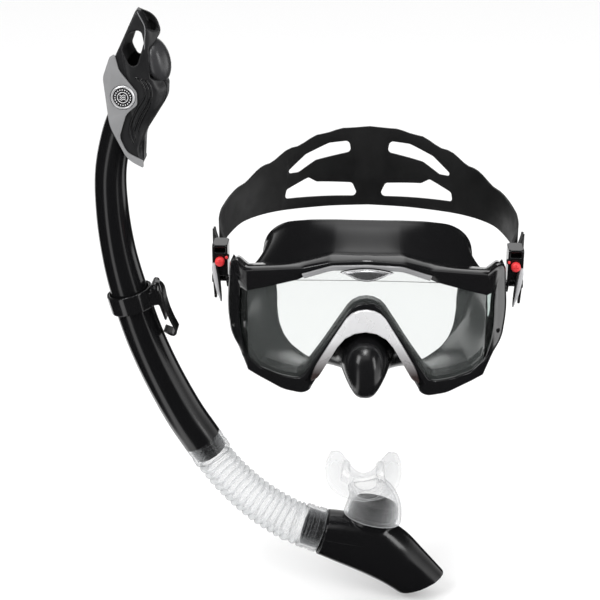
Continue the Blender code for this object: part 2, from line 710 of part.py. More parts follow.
def buckle(side, black):
    """Cage for the roller, with a mounting plate, a cover plate and the button's panel."""
    name = side_name("buckle_body", side)
    f, r = CAGE_FRONT, CAGE_BACK
    inner = plate([(f, CAGE_TOP, 2), (r, CAGE_TOP, 2), (r, 14, 3), (-10, 5.6, 3),
                   (-16, 5.6, 3), (f, 14, 3)], PLATE_IN)
    outer = plate([(f, CAGE_TOP, 2), (r, CAGE_TOP, 2), (r, 12, 6), (-11.2, -3, 2),
                   (-14.6, -3, 2), (f, 14, 6)], PLATE_OUT)
    wide = (PLATE_OUT[1] - 0.5, PLATE_IN[0] + 0.5)
    x, z = BUTTON
    body = make(name, *flipped(outer, side), black)
    parts = [inner, block(wide, (f, r), (CAGE_TOP - 1.8, CAGE_TOP)),
             block(wide, (f, r), (CAGE_BOTTOM, CAGE_BOTTOM + 1.8)),
             block(wide, (f, f + 3.5), (CAGE_BOTTOM + 1, z + 5.2))]
    joined = [make("add", *flipped(p, side), black) for p in parts]
    combine(body, joined, "UNION")
    cuts = [rod(Vector((-120, PIVOT.y, PIVOT.z)), Vector((-80, PIVOT.y, PIVOT.z)), 2.2 + GAP),
            rod(Vector((x, f - 1, z)), Vector((x, f + 5, z)), 1.9),
            rod(Vector((x, f - 1, z)), Vector((x, f + 2, z)), 2.8)]
    combine(body, [make("cut", *flipped(c, side), black) for c in cuts], "DIFFERENCE")
    return body


def buckle_small_parts(side, red, steel, black):
    """Release button with its stem, its spring, the strap's roller and the pivot pin."""
    f, (x, z) = CAGE_FRONT, BUTTON
    button = turned([(0, 1.6), (-5.0, 1.6), (-5.0, BUTTON_R), (-7.6, BUTTON_R), (-8.4, 2.4)],
                    Vector((x, f + 4.1, z)), Vector((0, 1, 0)), SMALL_SIDES, closed=False)
    spring = turned([(0, 1.95), (0, 2.55), (2.2, 2.55), (2.2, 1.95)],
                    Vector((x, f - 0.5, z)), Vector((0, 1, 0)), SMALL_SIDES)
    cx, cy = ROLLER
    roller = rod(Vector((cx, cy, CAGE_BOTTOM + 1.8 + GAP)),
                 Vector((cx, cy, CAGE_TOP - 1.8 - GAP)), ROLLER_R)
    pin = turned([(0, 2.2), (14.6, 2.2), (14.6, 3.4), (15.4, 3.0)],
                 Vector((-85.5, PIVOT.y, PIVOT.z)), Vector((-1, 0, 0)), SMALL_SIDES,
                 closed=False)
    pieces = (("release_button", button, red), ("button_spring", spring, steel),
              ("strap_roller", roller, steel), ("pivot_pin", pin, black))
    return [make(side_name(name, side), *flipped(data, side), material)
            for name, data, material in pieces]


def buckle_lugs(frame, black):
    """Lugs on the frame's rear that carry the pivot pins."""
    outline = [(-29, 16.5, 2), (-9.5, 15.5, 4.5), (-9.5, 6.5, 4.5), (-29, 5.5, 2)]
    lug = plate(outline, (-88.6, -84.6))
    tools = [make("lug", *flipped(lug, side), black) for side in (-1, 1)]
    combine(frame, tools, "UNION")
    hole = rod(Vector((-95, PIVOT.y, PIVOT.z)), Vector((-80, PIVOT.y, PIVOT.z)), 2.2 + GAP)
    tools = [make("hole", *flipped(hole, side), black) for side in (-1, 1)]
    return combine(frame, tools, "DIFFERENCE")


# ==== Snorkel: tube, hose and couplers ======================================================

def in_plane(points, steps):
    """Smooth route in the snorkel's plane."""
    return [Vector((x, 0, z)) for x, z in spline(points, steps)]


def directions(route):
    """Directions along a route."""
    out = []
    for i in range(len(route)):
        out.append((route[min(i + 1, len(route) - 1)] - route[max(i - 1, 0)]).normalized())
    return out


def tube_route(steps=2):
    """Route of the rigid tube and its radius at each point."""
    route = in_plane(TUBE_PATH, steps)
    radii = [r[0] for r in spline([(r,) for r in TUBE_RADII], steps)]
    return route, radii


def tube(black):
    """Curved, tapered tube with a ribbed spigot at its foot."""
    route, radii = tube_route()
    foot, head = route[0], (route[0] - route[1]).normalized()
    spigot = [(foot + head * t, r) for t, r in (
        (12.0, 10.9), (9.8, 10.9), (9.6, 11.4), (8.0, 11.4), (7.8, 10.9), (5.8, 10.9),
        (5.6, 11.4), (4.0, 11.4), (3.8, 10.9), (0.2, 10.9))]
    outer = [ring_at(p, -head, r, SIDES) for p, r in spigot]
    heads = directions(route)
    outer += [ring_at(p, d, r, SIDES) for p, d, r in zip(route, heads, radii)]
    inner = [ring_at(p, d, r - TUBE_WALL, SIDES) for p, d, r in zip(route, heads, radii)]
    inner[0] = ring_at(foot, -head, 9.4, SIDES)
    inner.insert(0, ring_at(foot + head * 12.0, -head, 9.4, SIDES))
    points, faces = loft(outer + inner[::-1], closed_path=True)
    return make("snorkel_tube", points, faces, black)


def coupler(name, start, axis, profile, clear):
    """Clear ring that holds one end of the hose."""
    points, faces = turned(profile, start, axis, SIDES)
    return make(name, points, faces, clear)


def hose_route(steps=8):
    """Route of the hose's middle line."""
    return in_plane(HOSE_PATH, steps)


def hose(clear):
    """Corrugated hose between the couplers, one ring pair for each rib."""
    route = hose_route()
    run = [0.0]
    for a, b in zip(route, route[1:]):
        run.append(run[-1] + (b - a).length)

    def place(t):
        want = t * run[-1]
        k = max(i for i, value in enumerate(run[:-1]) if value <= want + 1e-9)
        part = (want - run[k]) / (run[k + 1] - run[k])
        spot = route[k].lerp(route[k + 1], part)
        return spot, (route[k + 1] - route[k]).normalized()

    outer, inner = [], []
    rows = HOSE_RIBS * 2
    for k in range(rows + 1):
        t = k / rows
        spot, head = place(t)
        crest = HOSE_RADII[0] + (HOSE_RADII[1] - HOSE_RADII[0]) * t
        outer.append(ring_at(spot, head, crest - (1.6 if k % 2 == 0 else 0), SMALL_SIDES + 2))
        if k % 4 == 0:
            inner.append(ring_at(spot, head, crest - 2.8, SMALL_SIDES + 2))
    points, faces = loft(outer + inner[::-1], closed_path=True)
    return make("flex_hose", points, faces, clear, smooth=80)


# ==== Snorkel: chamber, purge valve and mouthpiece ==========================================

def chamber_ring(section, shrink, sides=SIDES):
    """One oval ring of the chamber, made smaller by a wall."""
    (x0, z0), (x1, z1), depth = section
    low, high = Vector((x0, 0, z0)), Vector((x1, 0, z1))
    across = high - low
    axis = across.cross(Vector((0, 1, 0)))
    return ring_at((low + high) / 2, axis, depth - shrink, sides,
                   second=across.length / 2 - shrink)


def between(a, b, t):
    """Chamber section part of the way between two sections."""
    low = tuple(p + (q - p) * t for p, q in zip(a[0], b[0]))
    high = tuple(p + (q - p) * t for p, q in zip(a[1], b[1]))
    return low, high, a[2] + (b[2] - a[2]) * t


def port_ring(level, half, depth, sides=SIDES):
    """Oval ring round the mouthpiece port, a level above the chamber."""
    return ring_at(PORT + PORT_AXIS * level, PORT_AXIS, depth, sides, second=half)


def chamber(black):
    """Lower chamber with the inlet spigot, the oval port and the open purge end."""
    spigot = [LOWER_COUPLER + LOWER_AXIS * t for t in (2.6, COUPLER_LENGTH + 0.6)]
    outer = [ring_at(p, LOWER_AXIS, 12.9, SIDES) for p in spigot]
    outer += [chamber_ring(s, 0) for s in CHAMBER]
    inner = [ring_at(p, LOWER_AXIS, 11.3, SIDES) for p in spigot]
    inner += [chamber_ring(s, CHAMBER_WALL) for s in CHAMBER]
    body = make("lower_chamber", *loft(outer + inner[::-1], closed_path=True), black)
    levels = [(-5.2, 16.6, 10.4), (4.0, 16.6, 10.4), (4.3, 17.1, 10.9), (6.3, 16.9, 10.8),
              (6.6, 16.2, 10.2), (9.0, 15.9, 10.0), (9.3, 16.4, 10.5), (11.3, 16.2, 10.4),
              (11.6, 15.5, 9.8), (15.5, 15.0, 9.5)]
    wall = [port_ring(*row) for row in levels]
    bore = [port_ring(level, half - 1.9, depth - 1.9) for level, half, depth in
            ((-5.2, 16.6, 10.4), (15.5, 15.0, 9.5))]
    combine(body, [make("port", *loft(wall + bore[::-1], closed_path=True), black)], "UNION")
    opening = [port_ring(level, half - 1.8, depth - 1.8) for level, half, depth in
               ((-7.5, 16.6, 10.4), (17, 15.0, 9.5))]
    return combine(body, [make("bore", *loft(opening), black)], "DIFFERENCE")


def purge_valve(black, rubber):
    """Seat with a cross bar inside the chamber's end, and its flap."""
    seat_at = between(CHAMBER[-2], CHAMBER[-1], 0.55)
    axis = (Vector((seat_at[1][0], 0, seat_at[1][1]))
            - Vector((seat_at[0][0], 0, seat_at[0][1]))).cross(Vector((0, 1, 0))).normalized()
    if axis.z > 0:
        axis = -axis
    shift = [Vector((0, 0, 0)), axis * 1.6]
    edge, hole = CHAMBER_WALL + 0.8, CHAMBER_WALL + 3.6
    outer = [[p + d for p in chamber_ring(seat_at, edge)] for d in shift]
    inner = [[p + d for p in chamber_ring(seat_at, hole)] for d in shift]
    seat = make("purge_seat", *loft(outer + inner[::-1], closed_path=True), black)
    low = Vector((seat_at[0][0], 0, seat_at[0][1]))
    high = Vector((seat_at[1][0], 0, seat_at[1][1]))
    along = (high - low).normalized()
    middle = (low + high) / 2
    reach = (high - low).length / 2 - edge - 1.0
    bar = []
    for sign_a, sign_b in ((-1, -1), (-1, 1), (1, 1), (1, -1)):
        bar.append([middle + along * (reach * sign_a) + Vector((0, 1.1 * sign_b, 0)) + d
                    for d in shift])
    bar = [[corner[k] for corner in bar] for k in (0, 1)]
    combine(seat, [make("bar", *loft(bar), black)], "UNION")
    flap = [[p + axis * d for p in chamber_ring(seat_at, CHAMBER_WALL + 2.0)]
            for d in (1.6 + GAP, 2.5 + GAP)]
    make("purge_flap", *loft(flap), rubber)
    hinge = high - along * (CHAMBER_WALL + 2.0) + axis * (2.0 + GAP)
    return hinge


def mouthpiece(clear):
    """Soft mouthpiece: oval neck over the port, curved flange and two bite tabs."""
    outer, inner = [], []
    axis = PORT_AXIS
    heads = [Vector((b[0][0] - a[0][0], 0, b[0][1] - a[0][1])).normalized()
             for a, b in zip(NECK, NECK[1:])]
    heads = [axis] + heads
    for k, ((x, z), half, depth) in enumerate(NECK):
        centre = Vector((x, 0, z))
        head = (axis + heads[k]).normalized()
        outer.append(ring_at(centre, head, depth, SIDES, second=half))
        wall = NECK_WALL if k < 3 else NECK_WALL + 1.0
        inner.append(ring_at(centre, head, depth - wall, SIDES, second=half - wall))
    body = make("mouthpiece", *loft(outer + inner[::-1], closed_path=True), clear)
    route = in_plane(BITE_ARC, 2)
    depths = [d[0] for d in spline([(d,) for d in BITE_DEPTH], 2)]
    rings = []
    for p, d, half in zip(route, directions(route), depths):
        up = Vector((-d.z, 0, d.x))
        rings.append([p + up * a + Vector((0, b, 0.12 * b)) for a, b in (
            (-1.2, -half + 1), (-1.2, half - 1), (0, half), (1.2, half - 1), (1.2, -half + 1),
            (0, -half))])
    flange = make("flange", *loft(rings), clear)
    tabs = []
    for side in (-1, 1):
        outline = [(side * 11.5 + 0.6, -146.5, 1), (side * 16.5 + 0.6, -143.0, 1),
                   (side * 16.5 + 0.6, -133.5, 2), (side * 11.5 + 0.6, -133.5, 2)]
        if side > 0:
            outline.reverse()
        tabs.append(make("tab", *prism(rounded(outline, 2, 1), -8, 8, upright), clear))
    combine(body, [flange] + tabs, "UNION")
    bore = [ring_at(Vector((x, 0, z)), Vector((0, 0, 1)), 6.6, 16, second=half)
            for x, z, half in ((4.0, -156, 9.8), (0.5, -140, 7.5))]
    return combine(body, [make("bore", *loft(bore), clear)], "DIFFERENCE")


# ==== Snorkel: dry top ======================================================================

def narrow(points):
    """Thin the dry top towards its tip, where front and back meet."""
    out = []
    for p in points:
        keep = 1.0 - 0.45 * max(0.0, min(1.0, (p[2] - 152) / 33)) ** 1.4
        out.append(Vector((p[0], p[1] * keep, p[2])))
    return out


def slab(outline, half, steps=3):
    """Outline of (x, z, radius) corners as a plate centred on the snorkel's plane."""
    return prism(rounded(outline, steps, 2), -half, half, upright)


def tube_space(clearance):
    """Solid that fills the tube's place, with clearance."""
    route, radii = tube_route()
    heads = directions(route)
    keep = [i for i, p in enumerate(route) if p.z > 60]
    rings = [ring_at(route[i], heads[i], radii[i] + clearance, SIDES) for i in keep]
    rings.append([p + heads[-1] * 3.2 for p in rings[-1]])
    return loft(rings)


def dry_top(black, grey, silver):
    """Housing of the dry top with its trims, emblems and float cover."""
    points, faces = slab(HOUSING, HOUSING_HALF)
    housing = make("dry_top_housing", narrow(points), faces, black)
    room = [make("room", *slab(FLOAT_ROOM, HOUSING_HALF - 2.4, 2), black),
            make("window", *slab(WINDOW_CUT, 20), black),
            make("inlet", *prism(rounded(INLET, 1, 1), -20, INLET_BACK, upright), black),
            make("well", *slab(INLET_WELL, 5.0, 1), black),
            make("socket", *tube_space(GAP), black)]
    combine(housing, room, "DIFFERENCE")
    for name, sign in (("front", -1), ("back", 1)):
        low, high = sorted((sign * (HOUSING_HALF + GAP), sign * (HOUSING_HALF + 1.9)))
        trim = make("side_trim_" + name, *prism(rounded(TRIM, 3, 2), low, high, upright), grey)
        hole = rod(Vector((EMBLEM[0], -20, EMBLEM[1])), Vector((EMBLEM[0], 20, EMBLEM[1])),
                   EMBLEM_R + GAP, SIDES)
        combine(trim, [make("hole", *hole, grey)], "DIFFERENCE")
        start = Vector((EMBLEM[0], sign * (HOUSING_HALF + GAP), EMBLEM[1]))
        face = turned([(0, EMBLEM_R), (2.0, EMBLEM_R), (2.6, EMBLEM_R - 0.8)],
                      start, Vector((0, sign, 0)), SIDES, closed=False)
        make("emblem_" + name, *face, silver)
    rings = []
    for level, keep in ((-11.2, 0.55), (-9.0, 0.88), (-5, 1.0), (5, 1.0), (9.0, 0.88),
                        (11.2, 0.55)):
        outline = rounded(DOME, 3, 2)
        root = -136.7
        rings.append([Vector((root + (p.x - root) * keep, level, 150.3 + (p.y - 150.3)
                              * (0.55 + 0.45 * keep))) for p in outline])
    cover = make("float_cover", *loft(rings), black)
    hollow = slab([(-140, 157, 1), (-132, 158, 2), (-128.6, 155, 4), (-127.6, 150, 6),
                   (-129, 144.6, 3), (-132, 143.8, 2), (-140, 145.6, 1)], 7.6)
    return combine(cover, [make("hollow", *hollow, black)], "DIFFERENCE")


def float_valve(foam, rubber, steel, black):
    """Seat on the tube's end, sealing pad, lever, float and the lever's pin."""
    route, radii = tube_route()
    end, axis = route[-1], (route[-1] - route[-2]).normalized()
    seat = turned([(GAP, 9.6), (2.0, 9.6), (2.0, 6.2), (GAP, 6.2)], end, axis, SIDES)
    make("valve_seat", *seat, black)
    open_turn = turn_about(LEVER_PIN, math.radians(16))
    pad_at = end + axis * 2.3
    pad = turned([(0, 6.8), (1.5, 7.4), (2.4, 7.4)], pad_at, axis, SMALL_SIDES + 4,
                 closed=False)
    make("seal_pad", [open_turn @ p for p in pad[0]], pad[1], rubber)
    across = Vector((axis.z, 0, -axis.x))
    top = pad_at + axis * (2.4 + GAP)
    outline = []
    for p, r in ((top - across * 4.5, 0.4), (top + across * 4.5, 1.0),
                 (LEVER_PIN + Vector((1.6, 0, -2.2)), 0.8),
                 (LEVER_PIN + Vector((3.2, 0, -2.0)), 0.3),
                 (LEVER_PIN + Vector((3.2, 0, 2.2)), 0.3),
                 (LEVER_PIN + Vector((-1.2, 0, 2.4)), 1.5),
                 (top - across * 3.0 + axis * 1.8, 0.5)):
        outline.append((p.x, p.z, r))
    arm = slab(outline, 3.0, 2)
    lever = make("float_lever", [open_turn @ p for p in arm[0]], arm[1], black)
    hole = rod(LEVER_PIN - Vector((0, 9, 0)), LEVER_PIN + Vector((0, 9, 0)), 1.3)
    combine(lever, [make("hole", *hole, black)], "DIFFERENCE")
    make("lever_pin", *rod(LEVER_PIN - Vector((0, 9.6, 0)), LEVER_PIN + Vector((0, 9.6, 0)),
                           1.0), steel)
    body = slab([(-138.6, 139.4, 2), (-132.6, 137.0, 2), (-133.4, 129, 3), (-136.6, 125, 2),
                 (-138.6, 126, 2)], 7.6, 2)
    make("float", *body, foam)


def turn_about(point, angle):
    """Turn about an axis along Y through a point."""
    return (Matrix.Translation(point) @ Matrix.Rotation(angle, 4, "Y")
            @ Matrix.Translation(-point))


# ==== Snorkel: keeper =======================================================================

KEEPER_Z = -10.0              # height of the keeper on the tube
KEEPER_HALF = 6.5
CLIP_PATH = [(-141.2, 1.8), (-138.0, 1.4), (-136.0, -3.2), (-134.8, -10.0), (-132.8, -18.0),
             (-129.8, -26.0), (-127.2, -31.7), (-128.8, -34.6), (-132.4, -33.4),
             (-135.8, -31.6)]
CLIP_WIDTHS = [2.6, 2.6, 6, 6, 6, 6, 6, 6, 6, 5]
CLIP_THICK = 1.7
KEEPER_PIN = Vector((-140.9, 0, 0.3))
KNUCKLE_R = 2.4
KNUCKLE_SPLIT = 2.7           # half width of the clip's knuckle


def keeper(black, steel):
    """Ring on the tube with its block and tongue, the sprung clip and the clip's pin."""
    route, radii = tube_route(4)
    low = max(i for i, p in enumerate(route) if p.z < KEEPER_Z)
    spot, axis, radius = route[low], directions(route)[low], radii[low]
    inner = radius + 0.9
    ring = make("keeper_ring", *turned(
        [(-KEEPER_HALF, inner), (-KEEPER_HALF, inner + 2.0), (KEEPER_HALF, inner + 2.0),
         (KEEPER_HALF, inner)], spot, axis, SIDES), black)
    right = Vector((axis.z, 0, -axis.x))

    def corners(rows):
        return [((spot + right * a + axis * b).x, (spot + right * a + axis * b).z, r)
                for a, b, r in rows]

    low_end = 0.4 - KEEPER_HALF
    tongue = slab(corners([
        (inner + 0.6, 3.2, 0.5), (inner + 6.6, 3.2, 0.8), (inner + 7.0, -18.0, 0.7),
        (inner + 5.6, -18.0, 0.7), (inner + 4.8, low_end, 0.8), (inner + 0.6, low_end, 0.5)]),
        7.0, 2)
    tools = [make("tongue", *tongue, black)]
    for side in (-1, 1):
        near, far = sorted((side * (KNUCKLE_SPLIT + GAP), side * 6.8))
        cheek = Vector((KEEPER_PIN.x, KEEPER_PIN.z))
        tools.append(make("ear", *prism(
            [cheek + Vector((KNUCKLE_R * math.cos(a), KNUCKLE_R * math.sin(a)))
             for a in (math.radians(30 * k) for k in range(0, 7))]
            + [cheek + Vector((-2.0, -5.5)), cheek + Vector((2.4, -5.0))],
            near, far, upright), black))
    combine(ring, tools, "UNION")
    bore = rod(KEEPER_PIN - Vector((0, 9, 0)), KEEPER_PIN + Vector((0, 9, 0)), 1.0 + GAP)
    combine(ring, [make("bore", *bore, black)], "DIFFERENCE")
    pin = rod(KEEPER_PIN - Vector((0, 7.2, 0)), KEEPER_PIN + Vector((0, 7.2, 0)), 1.0)
    make("keeper_pin", *pin, steel)
    path = in_plane(CLIP_PATH, 2)
    widths = [w[0] for w in spline([(w,) for w in CLIP_WIDTHS], 2)]
    rings = []
    for p, d, half in zip(path, directions(path), widths):
        up = Vector((-d.z, 0, d.x)) * (CLIP_THICK / 2)
        rings.append([p + up * a + Vector((0, b * half, 0))
                      for a, b in ((-1, -1), (-1, 1), (1, 1), (1, -1))])
    clip = make("keeper_clip", *loft(rings), black)
    knuckle = rod(KEEPER_PIN - Vector((0, KNUCKLE_SPLIT, 0)),
                  KEEPER_PIN + Vector((0, KNUCKLE_SPLIT, 0)), KNUCKLE_R)
    combine(clip, [make("knuckle", *knuckle, black)], "UNION")
    combine(clip, [make("bore", *bore, black)], "DIFFERENCE")


def main():
    """Build every piece."""
    for obj in list(bpy.data.objects):
        bpy.data.objects.remove(obj)
    black = paint("frame_plastic", (0.012, 0.012, 0.013), 0.18)
    soft = paint("black_silicone", (0.014, 0.014, 0.015), 0.42)
    glass = paint("tempered_glass", (0.86, 0.93, 0.90), 0.04, alpha=0.25)
    silver = paint("bright_trim", (0.72, 0.72, 0.74), 0.22, metallic=0.9)
    grey = paint("grey_trim", (0.28, 0.28, 0.29), 0.45, metallic=0.3)
    red = paint("red_button", (0.75, 0.06, 0.06), 0.4)
    steel = paint("steel", (0.6, 0.6, 0.62), 0.3, metallic=1.0)
    matt = paint("housing_plastic", (0.03, 0.03, 0.033), 0.5)
    clear = paint("clear_silicone", (0.85, 0.87, 0.88), 0.15, alpha=0.4)
    hard = paint("clear_plastic", (0.88, 0.9, 0.9), 0.08, alpha=0.3)
    foam = paint("float_foam", (0.75, 0.7, 0.55), 0.9)

    ring = stations()
    frame = front_frame(ring, black)
    buckle_lugs(frame, black)
    clamp_ring(ring, black)
    flat_front_glass(ring, glass)
    for side in (-1, 1):
        side_glass(ring, side, glass)
    nose_trim(ring, silver)
    brow_trim(ring, grey)
    brow_badge(silver)
    skirt(ring, soft)
    strap(soft)
    for side in (-1, 1):
        buckle(side, black)
        buckle_small_parts(side, red, steel, black)

    tube(black)
    route, _ = tube_route()
    head = (route[0] - route[1]).normalized()
    coupler("upper_coupler", route[0], head, [
        (GAP, 13.7), (5.0, 13.9), (5.4, 13.3), (9.6, 13.3), (10, 13.9), (COUPLER_LENGTH, 13.7),
        (COUPLER_LENGTH, 11.8), (GAP, 11.8)], hard)
    hose(clear)
    coupler("lower_coupler", LOWER_COUPLER, LOWER_AXIS, [
        (GAP, 15.6), (5.0, 15.9), (5.4, 15.3), (9.6, 15.3), (10, 16.0),
        (COUPLER_LENGTH - 0.6, 16.2), (COUPLER_LENGTH - 0.6, 13.3), (GAP, 13.3)], hard)
    chamber(black)
    flap_hinge = purge_valve(black, soft)
    mouthpiece(clear)
    dry_top(matt, grey, silver)
    float_valve(foam, soft, steel, black)
    keeper(black, steel)

    move_origin(PIVOT, ["strap"] + [
        side_name(base, side) for side in (-1, 1)
        for base in ("buckle_body", "release_button", "button_spring", "strap_roller")])
    move_origin(LEVER_PIN, ["float_lever", "seal_pad", "float"])
    move_origin(KEEPER_PIN, ["keeper_clip"])
    move_origin(HOSE_BEND, ["lower_coupler", "lower_chamber", "purge_seat", "mouthpiece"])
    move_origin(flap_hinge, ["purge_flap"])


main()
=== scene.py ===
"""Looks of the diving mask and its dry snorkel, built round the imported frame."""

import json
import math

import bmesh
import bpy
from mathutils import Matrix, Vector

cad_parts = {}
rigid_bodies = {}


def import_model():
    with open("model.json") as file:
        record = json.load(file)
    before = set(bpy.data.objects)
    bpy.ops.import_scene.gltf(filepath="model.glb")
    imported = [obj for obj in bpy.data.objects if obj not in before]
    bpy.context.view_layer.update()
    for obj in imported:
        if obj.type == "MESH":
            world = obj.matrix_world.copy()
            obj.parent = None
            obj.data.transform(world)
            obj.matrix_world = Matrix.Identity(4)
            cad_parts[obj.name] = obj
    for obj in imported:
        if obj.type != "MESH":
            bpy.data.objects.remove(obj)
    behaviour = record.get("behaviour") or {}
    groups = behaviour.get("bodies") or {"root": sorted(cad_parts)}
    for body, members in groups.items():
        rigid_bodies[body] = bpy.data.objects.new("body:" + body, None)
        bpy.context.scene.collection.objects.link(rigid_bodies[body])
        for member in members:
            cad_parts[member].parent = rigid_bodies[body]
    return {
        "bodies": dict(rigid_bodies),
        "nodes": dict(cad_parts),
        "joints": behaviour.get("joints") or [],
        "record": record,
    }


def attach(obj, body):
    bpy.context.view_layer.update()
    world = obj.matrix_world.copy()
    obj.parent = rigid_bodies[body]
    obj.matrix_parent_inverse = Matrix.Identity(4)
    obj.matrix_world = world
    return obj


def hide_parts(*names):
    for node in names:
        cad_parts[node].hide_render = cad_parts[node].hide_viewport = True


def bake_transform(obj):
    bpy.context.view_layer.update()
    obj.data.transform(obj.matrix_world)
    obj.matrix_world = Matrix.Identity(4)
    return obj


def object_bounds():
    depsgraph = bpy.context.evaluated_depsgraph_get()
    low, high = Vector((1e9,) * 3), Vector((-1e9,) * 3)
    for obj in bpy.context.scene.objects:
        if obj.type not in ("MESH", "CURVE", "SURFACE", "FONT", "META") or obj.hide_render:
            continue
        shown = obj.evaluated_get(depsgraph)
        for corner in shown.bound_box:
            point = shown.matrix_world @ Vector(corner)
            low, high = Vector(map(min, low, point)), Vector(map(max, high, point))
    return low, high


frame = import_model()
CAD_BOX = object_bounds()

# ==== Shape of the parts ====================================================================

MM = 0.001
GAP = 0.3                     # clearance between neighbouring pieces

# ---- Driving dimensions of the mask -------------------------------------------------------
FRAME_FRONT = -64.0           # front face of the frame
SEAM_X = 74.0                 # where the flat front glass meets the side glass
EDGE_X = 81.0                 # outer edge of the side glass
SIDE_SLOPE = 2.2              # how fast the side glass runs back, depth per width
BEZEL_SLOPE = 1.3             # the same for the frame outside the side glass
LIP = 3.2                     # thickness of the frame's lip over the glass
LENS_FRONT = LIP + GAP        # depth of the glass behind the frame's front face
LENS_THICK = 4.0              # tempered front glass
SIDE_LENS_DEPTH = 7.0         # side glass, measured along Y
WALL_IN = 4.3                 # inner side of the frame's wall, from the window's edge
RECESS = 2.4                  # depth of the seats for the two trims
TRIM_EDGE = 3.8               # where a trim's seat begins or ends
SKIRT_THICK = 1.8
SKIRT_FLANGE = 3.6            # skirt flange behind the glass
SKIRT_OUT = 1.5               # outer side of the skirt where it leaves the frame

# Window, frame edge and face rim: matching corners (x, z, radius) from the top centre over the
# wearer's right side to the nose.  A radius of 0 marks the seam between front and side glass.
WINDOW = [(0, 38.5, 60), (-22, 37.6, 25), (-38, 32.3, 12), (-57, 27.2, 60), (-74, 23.0, 0),
          (-79.5, 21.2, 3), (-80.4, -2, 60), (-78.6, -13, 14), (-74, -21.5, 0),
          (-67, -28.8, 10), (-55, -34.2, 40), (-41, -36.8, 6), (0, 27.5, 13.2)]
FRAME = [(0, 45.0, 80), (-22, 43.8, 30), (-40, 39.6, 25), (-58, 38.4, 60), (-74, 37.5, 0),
         (-86.5, 35.5, 6), (-89.3, 2, 80), (-87, -16, 16), (-74, -31.5, 0),
         (-66, -36.6, 20), (-51, -45.0, 20), (-36.5, -48.0, 8), (0, 17.5, 21)]
RIM = [(0, 50.7, 60), (-20, 50.2, 30), (-37, 48.4, 20), (-53, 44.6, 12), (-62.5, 38, 0),
       (-68.2, 29, 12), (-70, 10, 30), (-70, -6, 30), (-67.5, -19, 0),
       (-62, -31, 20), (-52, -44, 14), (-37, -53, 14), (0, -42, 30)]
ARC_STEPS = 6                 # segments in each rounded corner
SIDE_STEPS = 4                # segments in each straight stretch
NOTCH_STEPS = 14               # the same beside the nose notch

# ---- Driving dimensions of the strap and its buckles ---------------------------------------
STRAP_PLAN = [(-92.3, -11), (-93.2, -5), (-97.3, 12), (-99.5, 30), (-96, 55), (-84, 80),
              (-63, 97), (-33, 107),
              (0, 110)]
STRAP_TOP = [(0, 34.4), (28, 36.5), (55, 41), (90, 46), (114, 55.6), (134, 65.3), (155, 74),
             (172, 78), (193, 79.2)]
STRAP_BOTTOM = [(0, 18.8), (28, 17.2), (60, 16.6), (90, 19.0), (130, 19.4), (193, 20.6)]
STRAP_THICK = 1.5
UPPER_SLOT = [(127, 46, 2), (138, 46.5, 5), (150.5, 54.7, 8), (176, 60.5, 3), (174.5, 68.9, 3),
              (160, 67.4, 8), (143, 59.8, 6)]
LOWER_SLOT = [(127, 27.4, 2.5), (181.5, 27.2, 3), (177, 37.6, 3), (151, 38.8, 4),
              (145, 42.4, 2), (128.5, 34.6, 3)]
PIVOT = Vector((0, -13, 11))  # the buckles' pivot line, along X
ROLLER = (-94.65, -13)        # the strap's roller, an upright pin
ROLLER_R = 1.3
BUTTON = (-94.65, 26.5)       # release button, x and z
BUTTON_R = 3.1
CAGE_BOTTOM, CAGE_TOP = 16.0, 37.0
PLATE_IN = (-91.3, -89.8)
PLATE_OUT = (-99.8, -98.0)
CAGE_FRONT, CAGE_BACK = -22.0, -7.5

# ---- Driving dimensions of the snorkel, in its plane Y = 0 ----------------------------------
TUBE_PATH = [(-112.3, -116.1), (-125.2, -94.3), (-139.5, -63.9), (-150.6, -34.1),
             (-159, -3), (-164.3, 23.7), (-167.0, 51.7), (-166.6, 79.1), (-161, 104),
             (-153.5, 122)]
TUBE_RADII = [13.7, 13.5, 13.2, 12.9, 12.4, 11.5, 10.8, 10.2, 10.0, 10.0]
TUBE_WALL = 1.6
HOSE_PATH = [(-104.0, -130.1), (-101.4, -134.4), (-92.4, -145.9), (-79.5, -159.3),
             (-65.8, -170.4), (-52, -179.4), (-47.6, -181.5), (-43.4, -183.0)]
COUPLER_LENGTH = 15.0
HOSE_RADII = (13.3, 15.4)
HOSE_RIBS = 16
LOWER_COUPLER = Vector((-43.0, 0, -183.1))
LOWER_AXIS = Vector((0.947, 0, -0.322))
# Chamber sections: lowest point (x, z), highest point (x, z), half depth.
CHAMBER = [((-33.1, -204.2), (-23.6, -172.6), 16.2), ((-20, -210.4), (-13.4, -173.4), 16.6),
           ((-7.4, -216.2), (3, -176.6), 16.8), ((4, -222), (19.5, -180.5), 16.4),
           ((14, -227.6), (32, -188.6), 15.4), ((21, -232.2), (45, -203.2), 14.0),
           ((26.2, -236), (59.6, -220.4), 12.6)]
CHAMBER_WALL = 2.2
PORT = Vector((6.6, 0, -177.6))
PORT_AXIS = Vector((0.203, 0, 0.979))
# Mouthpiece neck: centre (x, z), half width, half depth, from the chamber upwards.
NECK = [((6.9, -175.6), 20.8, 13.8), ((8.3, -168.0), 19.9, 13.5), ((8.6, -160.0), 18.1, 12.8),
        ((6.0, -153.2), 15.9, 12.0), ((2.6, -148.4), 13.6, 11.0)]
NECK_WALL = 2.3

